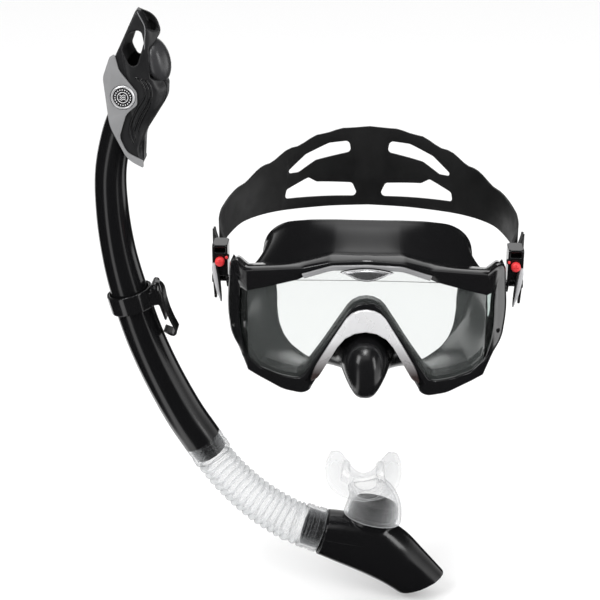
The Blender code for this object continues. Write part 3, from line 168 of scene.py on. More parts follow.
# Dry top: outline of the housing, its chamber, window and side trim as (x, z, radius).
HOUSING = [(-144.8, 184.4, 0.8), (-134.0, 180.2, 13), (-130.6, 168.6, 7), (-137, 161.6, 3),
           (-137, 143, 3), (-126.8, 139.4, 3), (-127.6, 129, 12), (-142.5, 106, 18),
           (-144.2, 85.2, 1), (-153.6, 90.5, 16), (-164.0, 111, 30), (-165.4, 142, 14),
           (-154.2, 164.6, 40)]
HOUSING_HALF = 12.6
WINDOW_CUT = [(-149.2, 171.4, 4), (-141.6, 173.0, 3), (-139.9, 164.5, 5), (-145.0, 150.6, 3),
              (-149.2, 150.6, 3), (-153.6, 160.5, 5)]
FLOAT_ROOM = [(-139.5, 157, 1.5), (-134, 157, 1), (-134, 145.5, 1), (-136.5, 141.5, 1),
              (-129.9, 137.0, 2), (-131.6, 127, 3), (-141, 116.5, 2), (-161, 125.5, 2),
              (-161, 139, 3), (-151, 154, 3), (-143.5, 158, 2)]
INLET = [(-143.6, 186.8, 0.6), (-139.4, 176.2, 2), (-139.0, 173.6, 1), (-131.5, 170.4, 1),
         (-120, 168, 1), (-120, 192, 1)]
INLET_BACK = 3.0              # the inlet is cut from the front to this depth
INLET_WELL = [(-139.0, 178, 1), (-138.2, 167.2, 1.5), (-134.8, 167.2, 1.5), (-134.2, 174, 1)]
TRIM = [(-158.0, 158.6, 0.8), (-155.8, 148.5, 10), (-150.0, 140.8, 4), (-145.2, 134.5, 4),
        (-145.2, 126.6, 3), (-152.5, 120.5, 10), (-157.4, 105.5, 8), (-153.2, 95.5, 10),
        (-142.9, 90.2, 0.8), (-142.9, 85.4, 0.8), (-153.0, 91.0, 16), (-163.4, 113, 30),
        (-166.0, 144, 12), (-161.2, 156.6, 2)]
EMBLEM = (-154.0, 131.4)
EMBLEM_R = 7.6
SIDES = 56                    # sides of round snorkel parts
SMALL_SIDES = 28

# Rows of the nose pocket, from behind the notch over the tip to the upper lip:
# middle (y, z), half width, side (y, z).
NOSE_ROWS = [
    (-47.0, 5.0, 8.0, -47.0, 1.0),
    (-47.0, -5.5, 9.0, -46.8, -6.0),
    (-60.0, -9.0, 10.5, -46.4, -12.0),
    (-72.0, -15.5, 15.2, -46.0, -20.5),
    (-77.5, -26.5, 16.8, -46.0, -29.5),
    (-76.0, -39.0, 13.6, -44.5, -37.0),
    (-66.0, -48.0, 10.2, -39.0, -43.4),
    (-46.0, -49.2, 12.6, -30.0, -45.6),
    (-25.0, -46.0, 14.5, -18.0, -47.0)]
POCKET_EDGE = 0.56            # where the pocket's side lies, across the notch
LIP_WIDTH = 9.0               # turned-in sealing lip
LIP_LOW = 0.85                # how much of it is lost low on the cheeks
MELT_HIGH, MELT_LOW, MELT_NOSE = 6.5, 2.6, 1.2   # reach of the skirt's soft corners

KEEPER_Z = -10.0              # height of the keeper on the tube
KEEPER_HALF = 6.5
CLIP_PATH = [(-141.2, 1.8), (-138.0, 1.4), (-136.0, -3.2), (-134.8, -10.0), (-132.8, -18.0),
             (-129.8, -26.0), (-127.2, -31.7), (-128.8, -34.6), (-132.4, -33.4),
             (-135.8, -31.6)]
CLIP_WIDTHS = [2.6, 2.6, 6, 6, 6, 6, 6, 6, 6, 5]
CLIP_THICK = 1.3
KEEPER_PIN = Vector((-140.9, 0, 0.3))
KNUCKLE_R = 2.4
KNUCKLE_SPLIT = 2.7           # half width of the clip's knuckle


def spline(points, steps):
    """Smooth open curve through points, as tuples; steps segments between neighbours."""
    ends = [tuple(2 * a - b for a, b in zip(points[0], points[1]))]
    tail = [tuple(2 * a - b for a, b in zip(points[-1], points[-2]))]
    p = ends + [tuple(q) for q in points] + tail
    out = []
    for i in range(1, len(p) - 2):
        for k in range(steps):
            t = k / steps
            out.append(tuple(
                0.5 * (2 * b + (c - a) * t + (2 * a - 5 * b + 4 * c - d) * t * t
                       + (3 * b - a - 3 * c + d) * t ** 3)
                for a, b, c, d in zip(p[i - 1], p[i], p[i + 1], p[i + 2])))
    out.append(tuple(points[-1]))
    return out


def limited(value, low=0.0, high=1.0):
    """Value kept between two limits."""
    return max(low, min(high, value))


def table(points, value):
    """Smooth value between the rows of a short table (position, value)."""
    if value <= points[0][0]:
        return points[0][1]
    for (a, va), (b, vb) in zip(points, points[1:]):
        if value <= b:
            t = (value - a) / (b - a)
            return va + (vb - va) * t * t * (3 - 2 * t)
    return points[-1][1]


def corner_points(before, corner, after, steps):
    """Fillet of one corner (x, z, radius); a radius of 0 keeps the corner as one point."""
    c = Vector(corner[:2])
    if corner[2] == 0:
        return [c]
    a, b = Vector(before[:2]) - c, Vector(after[:2]) - c
    half = a.angle(b) / 2
    reach = min(corner[2] / math.tan(half), 0.48 * a.length, 0.48 * b.length)
    radius = reach * math.tan(half)
    centre = c + (a.normalized() + b.normalized()).normalized() * (radius / math.sin(half))
    start, end = c + a.normalized() * reach - centre, c + b.normalized() * reach - centre
    turn = math.atan2(start.x * end.y - start.y * end.x, start.dot(end))
    out = []
    for k in range(steps + 1):
        angle = turn * k / steps
        out.append(centre + Vector((start.x * math.cos(angle) - start.y * math.sin(angle),
                                    start.x * math.sin(angle) + start.y * math.cos(angle))))
    return out


def rounded(corners, arc_steps, side_steps, notch=None):
    """Closed outline with rounded corners; equal lists of corners give matching points.

    The two sides that meet at the corner numbered notch get NOTCH_STEPS segments.
    """
    out = []
    count = len(corners)
    arcs = [corner_points(corners[i - 1], corners[i], corners[(i + 1) % count], arc_steps)
            for i in range(count)]
    for i, arc in enumerate(arcs):
        out += arc
        following = arcs[(i + 1) % count][0]
        steps = NOTCH_STEPS if notch in (i, i + 1) else side_steps
        for k in range(1, steps):
            out.append(arc[-1].lerp(following, k / steps))
    return out


def both_sides(half):
    """Corners of the whole outline from one half that starts and ends on the middle line."""
    return half + [(-x, z, r) for x, z, r in reversed(half[1:-1])]


def crisp(obj, angle=40):
    """Smooth shading with sharp edges above an angle."""
    obj.data.shade_smooth()
    obj.data.set_sharp_from_angle(angle=math.radians(angle))
    return obj


def outwards(work, mesh):
    """Turn the faces of a closed work mesh outwards and store it."""
    bmesh.ops.recalc_face_normals(work, faces=work.faces)
    if work.calc_volume(signed=True) < 0:
        bmesh.ops.reverse_faces(work, faces=work.faces)
    work.to_mesh(mesh)
    work.free()


def applied(obj):
    """Mesh of an object with its modifiers applied, which replaces its own."""
    bpy.context.view_layer.update()
    graph = bpy.context.evaluated_depsgraph_get()
    mesh = bpy.data.meshes.new_from_object(obj.evaluated_get(graph))
    obj.modifiers.clear()
    old, obj.data = obj.data, mesh
    return old, mesh


def make(name, points, faces, material, smooth=35):
    """Closed mesh object from points in millimetres, its faces turned outwards."""
    mesh = bpy.data.meshes.new(name)
    mesh.from_pydata([Vector(p) * MM for p in points], [], faces)
    work = bmesh.new()
    work.from_mesh(mesh)
    bmesh.ops.remove_doubles(work, verts=work.verts, dist=1e-6)
    outwards(work, mesh)
    mesh.materials.append(material)
    obj = bpy.data.objects.new(name, mesh)
    bpy.context.collection.objects.link(obj)
    return crisp(obj, smooth) if smooth else obj


def loft(rings, closed_path=False, capped=True):
    """Faces joining equal rings of points in order."""
    n = len(rings[0])
    points = [p for ring in rings for p in ring]
    faces = []
    count = len(rings)
    for r in range(count if closed_path else count - 1):
        a, b = r * n, (r + 1) % count * n
        faces += [(a + k, a + (k + 1) % n, b + (k + 1) % n, b + k) for k in range(n)]
    if capped and not closed_path:
        faces.append(tuple(range(n))[::-1])
        faces.append(tuple(range((count - 1) * n, count * n)))
    return points, faces


def prism(outline, low, high, place):
    """Outline of 2-D points between two levels; place turns (a, b, level) into a point."""
    rings = [[place(p[0], p[1], level) for p in outline] for level in (low, high)]
    return loft(rings)


def upright(x, z, y):
    """Place an (x, z) outline that is extruded along Y."""
    return Vector((x, y, z))


def sideways(y, z, x):
    """Place a (y, z) outline that is extruded along X."""
    return Vector((x, y, z))


def ring_at(centre, axis, radius, sides, second=None):
    """Circle or ellipse of points round an axis; the first half-axis lies along Y."""
    axis = axis.normalized()
    u = Vector((0, 1, 0)) if abs(axis.y) < 0.9 else Vector((1, 0, 0))
    v = axis.cross(u).normalized()
    u = v.cross(axis).normalized()
    other = radius if second is None else second
    return [centre + u * (radius * math.cos(a)) + v * (other * math.sin(a))
            for a in (2 * math.pi * k / sides for k in range(sides))]


def rod(start, end, radius, sides=SMALL_SIDES):
    """Plain round bar."""
    axis = end - start
    return loft([ring_at(start, axis, radius, sides), ring_at(end, axis, radius, sides)])


def turned(profile, centre, axis, sides, closed=True):
    """Solid of revolution from a profile (distance along the axis, radius)."""
    axis = axis.normalized()
    rings = [ring_at(centre + axis * t, axis, r, sides) for t, r in profile]
    return loft(rings, closed_path=closed, capped=not closed)


def combine(base, tools, operation):
    """Exact boolean of closed objects, applied; the tools are removed."""
    for tool in tools:
        modifier = base.modifiers.new("cut", "BOOLEAN")
        modifier.operation = operation
        modifier.solver = "EXACT"
        modifier.object = tool
    old, mesh = applied(base)
    mesh.name = base.name
    mesh.materials.clear()
    mesh.materials.append(old.materials[0])
    for face in mesh.polygons:
        face.material_index = 0
    bpy.data.meshes.remove(old)
    for tool in tools:
        bpy.data.objects.remove(tool)
    return crisp(base, 35)


def mirrored(points):
    """The same points on the other side of the mask."""
    return [Vector((-p[0], p[1], p[2])) for p in points]


def wrap(x):
    """How far the frame's face lies behind the middle, at a distance x from it."""
    a = abs(x)
    side = max(0.0, min(a, EDGE_X) - SEAM_X) * SIDE_SLOPE
    return side + max(0.0, a - EDGE_X) * BEZEL_SLOPE


class Station:
    """One place round the window: window edge, frame edge and face rim, with their zone."""

    def __init__(self, window, frame, rim, cross):
        self.window, self.frame, self.rim = window, frame, rim
        self.span = (frame - window).length
        self.out = (frame - window) / self.span
        self.cross = cross          # -1..1 across the nose notch, None elsewhere

    def at(self, distance, depth):
        """Point a distance outwards from the window's edge, depth behind the front face."""
        p = self.window + self.out * distance
        return Vector((p.x, FRAME_FRONT + wrap(p.x) + depth, p.y))

    @property
    def glass_back(self):
        """Depth of the glass's back face here."""
        side = abs(self.window.x) > SEAM_X - 0.01
        return LENS_FRONT + (SIDE_LENS_DEPTH + 1.4 if side else LENS_THICK)

    @property
    def rear(self):
        """Depth of the frame's rear edge here."""
        if self.cross is not None:
            return 14.0
        if self.window.y > 15:
            return 22.0 - 6 * max(0.0, 1 - abs(self.window.x) / 40)
        low = limited((10 - self.window.y) / 30)
        return 17.5 - 1.0 * low


def stations():
    """All places round the window, in order."""
    notch = len(WINDOW) - 1
    window, frame, rim = (rounded(both_sides(half), ARC_STEPS, SIDE_STEPS, notch)
                          for half in (WINDOW, FRAME, RIM))
    single = [1 if c[2] == 0 else ARC_STEPS + 1 for c in WINDOW[:notch]]
    first = sum(single) + (notch - 1) * (SIDE_STEPS - 1) - 1
    reach = NOTCH_STEPS + ARC_STEPS / 2
    out = []
    for i, (w, f, r) in enumerate(zip(window, frame, rim)):
        cross = (i - first) / reach - 1
        out.append(Station(w, f, r, cross if abs(cross) <= 1 else None))
    return out


def seats(station):
    """Depths of the frame's face inside and outside the trims' edge."""
    if station.cross is not None:
        return 0.0, RECESS
    if station.window.y > 30 and abs(station.window.x) < 41:
        return RECESS, 0.0
    return 0.0, 0.0


def clamp_ring(ring, black):
    """Inner ring that presses the skirt's flange against the glass."""
    rings = []
    for s in ring:
        low = s.glass_back + GAP + SKIRT_THICK + GAP
        rings.append([s.at(a, b) for a, b in (
            (SKIRT_OUT + 0.6, low), (WALL_IN - GAP, low),
            (WALL_IN - GAP, s.rear - 0.8), (SKIRT_OUT + 0.6, s.rear - 0.8))])
    return make("clamp_ring", *loft(rings, closed_path=True), black)


def nose_trim(ring, silver):
    """Bright chevron over the nose, let into the frame's face."""
    rings = []
    for s in ring:
        if s.cross is None or abs(s.cross) > 0.97:
            continue
        end = max(0.0, abs(s.cross) - 0.8) / 0.17
        low = TRIM_EDGE + GAP + end * 0.25 * s.span
        high = s.span - 0.3 - end * 0.3 * s.span
        rings.append([s.at(a, b) for a, b in (
            (low, RECESS - GAP), (low, 0.2), (low + 0.8, -0.6),
            (high - 0.9, -0.6), (high, 0.3), (high, RECESS - GAP))])
    return make("nose_trim", *loft(rings), silver)


def brow_trim(ring, grey):
    """Grey arched strip over the middle of the window."""
    top = [s for s in ring if s.cross is None and s.window.y > 30 and abs(s.window.x) < 38.5]
    top.sort(key=lambda s: s.window.x)
    rings = [[s.at(a, b) for a, b in (
        (0.1, RECESS - GAP), (0.1, 0.0), (0.7, -0.7), (TRIM_EDGE - 0.9, -0.7),
        (TRIM_EDGE - GAP, 0.0), (TRIM_EDGE - GAP, RECESS - GAP))] for s in top]
    return make("brow_trim", *loft(rings), grey)


def brow_badge(silver):
    """Plain polished boss hanging from the brow trim."""
    steps, width = 12, BOSS_HALF
    top = [(x, BOSS_MIDDLE + BOSS_RISE * (1 - (x / width) ** 2)) for x in
           (width - 2 * width * k / steps for k in range(steps + 1))]
    bottom = [(x, BOSS_MIDDLE - BOSS_DROP * math.cos(x / width * math.pi / 2) ** 1.3) for x in
              (-width + 2 * width * k / steps for k in range(1, steps))]
    outline = top + bottom
    middle = Vector((0, 36.0))
    rings = []
    for level, keep in ((FRAME_FRONT - 1.0, 1.0), (FRAME_FRONT - 2.0, 1.0),
                        (FRAME_FRONT - 3.2, 0.72), (FRAME_FRONT - 3.5, 0.35)):
        rings.append([upright(*(middle + (Vector(p) - middle) * keep), level)
                      for p in outline])
    return make("brow_badge", *loft(rings), silver)


def rim_depth(x):
    """The face rim runs back towards the temples."""
    return -8.0 + 23.0 * (x / 70) ** 2


def bezier(p0, p1, p2, p3, t):
    """Point of a cubic curve."""
    u = 1 - t
    return p0 * u ** 3 + p1 * 3 * u * u * t + p2 * 3 * u * t * t + p3 * t ** 3


def wall_start(station):
    """Where the skirt's outer wall leaves the frame; over the nose it clears the frame."""
    return station.at(SKIRT_OUT, station.rear + (-0.3 if station.cross is None else 0.7))


def wall_row(station, t):
    """Point of the skirt's outer wall, t from the frame to the face rim."""
    start = wall_start(station)
    rim = Vector((station.rim.x, rim_depth(station.rim.x), station.rim.y))
    out = Vector((station.out.x, 0, station.out.y))
    reach = rim.y - start.y
    pinch = limited((abs(rim.x) - 38) / 22) * limited((rim.z - 4) / 24)
    first = start + Vector((0, 0.35 * reach, 0)) + out * (0.5 - 5.0 * pinch)
    second = rim + Vector((0, -0.35 * reach, 0)) + out * (1.0 - 6.5 * pinch)
    return bezier(start, first, second, rim, t)


def pocket_row(row, across):
    """Point of the nose pocket; across runs from -1 to 1 over the pocket's width."""
    y_mid, z_mid, half, y_side, z_side = row
    bend = 1 - (1 - abs(across) ** 2.6) ** 0.62
    x = half * math.copysign(abs(across) ** 0.9, across)
    return Vector((x, y_mid + (y_side - y_mid) * bend, z_mid + (z_side - z_mid) * bend))


def skirt_rows(ring):
    """Rows of the skirt's outer surface behind the frame, one point for each station."""
    rows = [[wall_start(s) for s in ring]]
    nose = len(NOSE_ROWS)
    for k in range(nose + 1):
        t = (k + 0.4) / (nose + 0.4)
        row = []
        for s in ring:
            plain = wall_row(s, t)
            if s.cross is None:
                row.append(plain)
                continue
            across = limited(s.cross / POCKET_EDGE, -1.0)
            pocket = pocket_row(NOSE_ROWS[k], across) if k < nose else wall_row(s, 1.0)
            fade = max(0.0, abs(s.cross) - POCKET_EDGE) / (1 - POCKET_EDGE)
            fade = fade * fade * (3 - 2 * fade)
            row.append(pocket.lerp(plain, fade))
        rows.append(row)
    lip = []
    for s in ring:
        inward = Vector((-s.rim.x, 0, 2 - s.rim.y)).normalized()
        low = limited((-14.0 - s.rim.y) / 24.0)
        width = LIP_WIDTH * (1 - LIP_LOW * low)
        lip.append(Vector((s.rim.x, rim_depth(s.rim.x) - 1.0, s.rim.y)) + inward * width)
    return rows + [lip]


def tail_plan():
    """Plan of the strap's end: from its tip forwards outside the band, round the roller."""
    cx, cy = ROLLER
    turn = ROLLER_R + GAP + STRAP_THICK / 2
    out = [Vector((cx - turn - 5.4, cy + 33)), Vector((cx - turn - 3.8, cy + 24)),
           Vector((cx - turn - 1.6, cy + 14)), Vector((cx - turn, cy + 6))]
    for k in range(7):
        angle = math.pi + math.pi * k / 6
        out.append(Vector((cx + turn * math.cos(angle), cy + turn * math.sin(angle))))
    return out


def strap_path(steps):
    """Plan of the strap's middle line (distance, point, direction), tip to pad middle."""
    plan = tail_plan() + [Vector(p) for p in spline(STRAP_PLAN, steps)]
    out, run = [], 0.0
    for i, p in enumerate(plan):
        if i:
            run += (p - plan[i - 1]).length
        ahead = plan[min(i + 1, len(plan) - 1)] - plan[max(i - 1, 0)]
        out.append((run, p, ahead.normalized()))
    return out


def tail_length():
    """Length of the strap from its tip to the inner side of the roller."""
    plan = tail_plan()
    return sum((b - a).length for a, b in zip(plan, plan[1:]))


def bent(path, distance, height, off):
    """Point of the band from its flat pattern: along, up, and off the middle surface."""
    half = path[-1][0]
    side = 1 if distance <= half else -1
    along = distance if side > 0 else 2 * half - distance
    for (s0, p0, d0), (s1, p1, d1) in zip(path, path[1:]):
        if along <= s1 + 1e-9:
            break
    t = (along - s0) / (s1 - s0)
    p = p0.lerp(p1, t)
    d = d0.lerp(d1, t).normalized()
    x, y = p.x + off * -d.y, p.y + off * d.x
    return Vector((x * side, y, height))


def strap(rubber, steps=7):
    """The strap with its four slots, cut flat and then bent to its plan."""
    path = strap_path(steps)
    half, tail = path[-1][0], tail_length()
    places = [row[0] for row in path]
    places += [2 * half - s for s in reversed(places[:-1])]
    rings = []
    for s in places:
        along = min(s, 2 * half - s) - tail
        low, high = table(STRAP_BOTTOM, along), table(STRAP_TOP, along)
        thick = STRAP_THICK / 2
        rings.append([Vector((s, o, z)) for z, o in (
            (low, -thick), (low, thick), ((low + high) / 2, thick), (high, thick),
            (high, -thick), ((low + high) / 2, -thick))])
    band = make("strap", *loft(rings), rubber, smooth=0)
    cutters = []
    for corners in (UPPER_SLOT, LOWER_SLOT):
        for flip in (False, True):
            outline = [Vector((p.x + tail, p.y)) for p in rounded(corners, 10, 4)]
            if flip:
                outline = [Vector((2 * half - p.x, p.y)) for p in outline]
            cutters.append(make("slot_cutter", *prism(outline, -4, 4, upright), rubber,
                                smooth=0))
    combine(band, cutters, "DIFFERENCE")
    work = bmesh.new()
    work.from_mesh(band.data)
    bmesh.ops.triangulate(work, faces=[f for f in work.faces if len(f.verts) > 4])
    for vertex in work.verts:
        s, off, z = vertex.co / MM
        vertex.co = bent(path, s, z, off) * MM
    outwards(work, band.data)
    return band


def plate(outline, span):
    """Flat plate from rounded (y, z, radius) corners between two x values."""
    return prism(rounded(outline, 8, 1), span[0], span[1], sideways)


def flipped(data, side):
    """Points and faces of a right-hand piece, mirrored for the left."""
    points, faces = data
    return (mirrored(points) if side > 0 else points), faces


def block(x, y, z):
    """Box between pairs of limits."""
    outline = [Vector(p) for p in ((x[0], z[0]), (x[1], z[0]), (x[1], z[1]), (x[0], z[1]))]
    return prism(outline, y[0], y[1], upright)


def side_name(base, side):
    """Name of the piece on the wearer's right (-X) or left (+X)."""
    return base + ("_right" if side < 0 else "_left")


def buckle(side, black):
    """Cage for the roller, with a mounting plate, a cover plate and the button's panel."""
    name = side_name("buckle_body", side)
    f, r = CAGE_FRONT, CAGE_BACK
    inner = plate([(f, CAGE_TOP, 2), (r, CAGE_TOP, 2), (r, 14, 3), (-10, 5.6, 3),
                   (-16, 5.6, 3), (f, 14, 3)], PLATE_IN)
    outer = plate([(f, CAGE_TOP, 2), (r, CAGE_TOP, 2), (r, 12, 6), (-11.2, -3, 2),
                   (-14.6, -3, 2), (f, 14, 6)], PLATE_OUT)
    wide = (PLATE_OUT[1] - 0.5, PLATE_IN[0] + 0.5)
    x, z = BUTTON
    body = make(name, *flipped(outer, side), black)
    parts = [inner, block(wide, (f, r), (CAGE_TOP - 1.8, CAGE_TOP)),
             block(wide, (f, r), (CAGE_BOTTOM, CAGE_BOTTOM + 1.8)),
             block(wide, (f, f + 3.5), (CAGE_BOTTOM + 1, z + 5.2))]
    combine(body, [make("add", *flipped(p, side), black) for p in parts], "UNION")
    cuts = [rod(Vector((-120, PIVOT.y, PIVOT.z)), Vector((-80, PIVOT.y, PIVOT.z)), 2.2 + GAP),
            rod(Vector((x, f - 1, z)), Vector((x, f + 5, z)), 1.9),
            rod(Vector((x, f - 1, z)), Vector((x, f + 2, z)), 2.8)]
    combine(body, [make("cut", *flipped(c, side), black) for c in cuts], "DIFFERENCE")
    return body


def in_plane(points, steps):
    """Smooth route in the snorkel's plane."""
    return [Vector((x, 0, z)) for x, z in spline(points, steps)]


def directions(route):
    """Directions along a route."""
    out = []
    for i in range(len(route)):
        out.append((route[min(i + 1, len(route) - 1)] - route[max(i - 1, 0)]).normalized())
    return out


def tube_route(steps=8):
    """Route of the rigid tube and its radius at each point."""
    route = in_plane(TUBE_PATH, steps)
    radii = [r[0] for r in spline([(r,) for r in TUBE_RADII], steps)]
    return route, radii


def tube(black):
    """Curved, tapered tube with a ribbed spigot at its foot."""
    route, radii = tube_route()
    foot, head = route[0], (route[0] - route[1]).normalized()
    spigot = [(foot + head * t, r) for t, r in (
        (12.0, 10.9), (9.8, 10.9), (9.6, 11.4), (8.0, 11.4), (7.8, 10.9), (5.8, 10.9),
        (5.6, 11.4), (4.0, 11.4), (3.8, 10.9), (0.2, 10.9))]
    outer = [ring_at(p, -head, r, SIDES) for p, r in spigot]
    heads = directions(route)
    outer += [ring_at(p, d, r, SIDES) for p, d, r in zip(route, heads, radii)]
    inner = [ring_at(p, d, r - TUBE_WALL, SIDES) for p, d, r in zip(route, heads, radii)]
    inner[0] = ring_at(foot, -head, 9.4, SIDES)
    inner.insert(0, ring_at(foot + head * 12.0, -head, 9.4, SIDES))
    return make("snorkel_tube", *loft(outer + inner[::-1], closed_path=True), black)


def hose_route(steps=16):
    """Route of the hose's middle line."""
    return in_plane(HOSE_PATH, steps)


def chamber_ring(section, shrink):
    """One oval ring of the chamber, made smaller by a wall."""
    (x0, z0), (x1, z1), depth = section
    low, high = Vector((x0, 0, z0)), Vector((x1, 0, z1))
    across = high - low
    axis = across.cross(Vector((0, 1, 0)))
    return ring_at((low + high) / 2, axis, depth - shrink, SIDES,
                   second=across.length / 2 - shrink)


def port_ring(level, half, depth):
    """Oval ring round the mouthpiece port, a level above the chamber."""
    return ring_at(PORT + PORT_AXIS * level, PORT_AXIS, depth, SIDES, second=half)


def chamber(black):
    """Lower chamber with the inlet spigot, the oval port and the open purge end."""
    spigot = [LOWER_COUPLER + LOWER_AXIS * t for t in (2.6, COUPLER_LENGTH + 0.6)]
    outer = [ring_at(p, LOWER_AXIS, 12.9, SIDES) for p in spigot]
    sections = [((r[0], r[1]), (r[2], r[3]), r[4])
                for r in spline([(*a, *b, c) for a, b, c in CHAMBER], 5)]
    outer += [chamber_ring(s, 0) for s in sections]
    inner = [ring_at(p, LOWER_AXIS, 11.3, SIDES) for p in spigot]
    inner += [chamber_ring(s, CHAMBER_WALL) for s in sections]
    body = make("lower_chamber", *loft(outer + inner[::-1], closed_path=True), black)
    levels = [(-5.2, 16.6, 10.4), (4.0, 16.6, 10.4), (4.3, 17.1, 10.9), (6.3, 16.9, 10.8),
              (6.6, 16.2, 10.2), (9.0, 15.9, 10.0), (9.3, 16.4, 10.5), (11.3, 16.2, 10.4),
              (11.6, 15.5, 9.8), (15.5, 15.0, 9.5)]
    wall = [port_ring(*row) for row in levels]
    bore = [port_ring(level, half - 1.9, depth - 1.9) for level, half, depth in
            ((-5.2, 16.6, 10.4), (15.5, 15.0, 9.5))]
    combine(body, [make("port", *loft(wall + bore[::-1], closed_path=True), black)], "UNION")
    opening = [port_ring(level, half - 1.8, depth - 1.8) for level, half, depth in
               ((-7.5, 16.6, 10.4), (17, 15.0, 9.5))]
    return combine(body, [make("bore", *loft(opening), black)], "DIFFERENCE")


def narrow(points):
    """Thin the dry top towards its tip, where front and back meet."""
    out = []
    for p in points:
        keep = 1.0 - 0.45 * limited((p[2] - 152) / 33) ** 1.4
        out.append(Vector((p[0], p[1] * keep, p[2])))
    return out


def slab(outline, half, steps=3):
    """Outline of (x, z, radius) corners as a plate centred on the snorkel's plane."""
    return prism(rounded(outline, steps * 3, 6), -half, half, upright)


def tube_space(clearance):
    """Solid that fills the tube's place, with clearance."""
    route, radii = tube_route()
    heads = directions(route)
    keep = [i for i, p in enumerate(route) if p.z > 60]
    rings = [ring_at(route[i], heads[i], radii[i] + clearance, SIDES) for i in keep]
    rings.append([p + heads[-1] * 3.2 for p in rings[-1]])
    return loft(rings)


def keeper(black, steel):
    """Ring on the tube with its block and tongue, the sprung clip and the clip's pin."""
    route, radii = tube_route(4)
    low = max(i for i, p in enumerate(route) if p.z < KEEPER_Z)
    spot, axis, radius = route[low], directions(route)[low], radii[low]
    inner = radius + 0.9
    ring = make("keeper_ring", *turned(
        [(-KEEPER_HALF, inner), (-KEEPER_HALF, inner + 2.0), (KEEPER_HALF, inner + 2.0),
         (KEEPER_HALF, inner)], spot, axis, SIDES), black)
    right = Vector((axis.z, 0, -axis.x))

    def corners(rows):
        return [((spot + right * a + axis * b).x, (spot + right * a + axis * b).z, r)
                for a, b, r in rows]

    low_end = 0.4 - KEEPER_HALF
    tongue = slab(corners([
        (inner + 0.6, 3.2, 0.5), (inner + 6.6, 3.2, 0.8), (inner + 7.0, -18.0, 0.7),
        (inner + 5.6, -18.0, 0.7), (inner + 4.8, low_end, 0.8), (inner + 0.6, low_end, 0.5)]),
        7.0, 2)
    tools = [make("tongue", *tongue, black)]
    for side in (-1, 1):
        near, far = sorted((side * (KNUCKLE_SPLIT + GAP), side * 6.8))
        cheek = Vector((KEEPER_PIN.x, KEEPER_PIN.z))
        tools.append(make("ear", *prism(
            [cheek + Vector((KNUCKLE_R * math.cos(a), KNUCKLE_R * math.sin(a)))
             for a in (math.radians(30 * k) for k in range(0, 7))]
            + [cheek + Vector((-2.0, -5.5)), cheek + Vector((2.4, -5.0))],
            near, far, upright), black))
    combine(ring, tools, "UNION")
    bore = rod(KEEPER_PIN - Vector((0, 9, 0)), KEEPER_PIN + Vector((0, 9, 0)), 1.0 + GAP)
    combine(ring, [make("bore", *bore, black)], "DIFFERENCE")
    pin = rod(KEEPER_PIN - Vector((0, 7.2, 0)), KEEPER_PIN + Vector((0, 7.2, 0)), 1.0)
    pin = make("keeper_pin", *pin, steel)
    path = in_plane(CLIP_PATH, 2)
    widths = [w[0] for w in spline([(w,) for w in CLIP_WIDTHS], 2)]
    rings = []
    for p, d, half in zip(path, directions(path), widths):
        up = Vector((-d.z, 0, d.x)) * (CLIP_THICK / 2)
        rings.append([p + up * a + Vector((0, b * half, 0))
                      for a, b in ((-1, -1), (-1, 1), (1, 1), (1, -1))])
    clip = make("keeper_clip", *loft(rings), black)
    knuckle = rod(KEEPER_PIN - Vector((0, KNUCKLE_SPLIT, 0)),
                  KEEPER_PIN + Vector((0, KNUCKLE_SPLIT, 0)), KNUCKLE_R)
    combine(clip, [make("knuckle", *knuckle, black)], "UNION")
    combine(clip, [make("bore", *bore, black)], "DIFFERENCE")
    return ring, clip, pin


# ==== Aids for the finished pieces ==========================================================

def fix(obj):
    """Apply all modifiers."""
    bpy.data.meshes.remove(applied(obj)[0])
    return obj


def moulded(obj, voxel, rounds=6):
    """Melt joined solids into one soft-edged moulding."""
    remesh = obj.modifiers.new("remesh", "REMESH")
    remesh.mode = "VOXEL"
    remesh.voxel_size = voxel * MM
    soften = obj.modifiers.new("soften", "SMOOTH")
    soften.factor = 0.5
    soften.iterations = rounds
    fix(obj)
    obj.data.shade_smooth()
    return obj


def eased(obj, width, segments=3, angle=32):
    """Small rounded edges on a crisp solid."""
    bevel = obj.modifiers.new("bevel", "BEVEL")
    bevel.width = width * MM
    bevel.segments = segments
    bevel.limit_method = "ANGLE"
    bevel.angle_limit = math.radians(angle)
    fix(obj)
    return crisp(obj)


def joined(parts):
    """Several closed solids as one object."""
    work = bmesh.new()
    for part in parts:
        work.from_mesh(part.data)
    work.to_mesh(parts[0].data)
    work.free()
    for part in parts[1:]:
        bpy.data.objects.remove(part)
    return crisp(parts[0])


def tube_along(points, radius, sides=10):
    """Closed round thread through points."""
    heads = directions(points)
    rings = []
    for i, (p, d) in enumerate(zip(points, heads)):
        end = min(i, len(points) - 1 - i)
        rings.append(ring_at(p, d, radius * (0.35, 0.8, 1.0)[min(end, 2)], sides))
    return loft(rings)


def show(obj, body, slot, *nodes):
    """Let a finished piece ride on its body and stand for its CAD nodes."""
    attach(obj, body)
    if nodes:
        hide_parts(*nodes)
    return obj


# ==== Materials =============================================================================

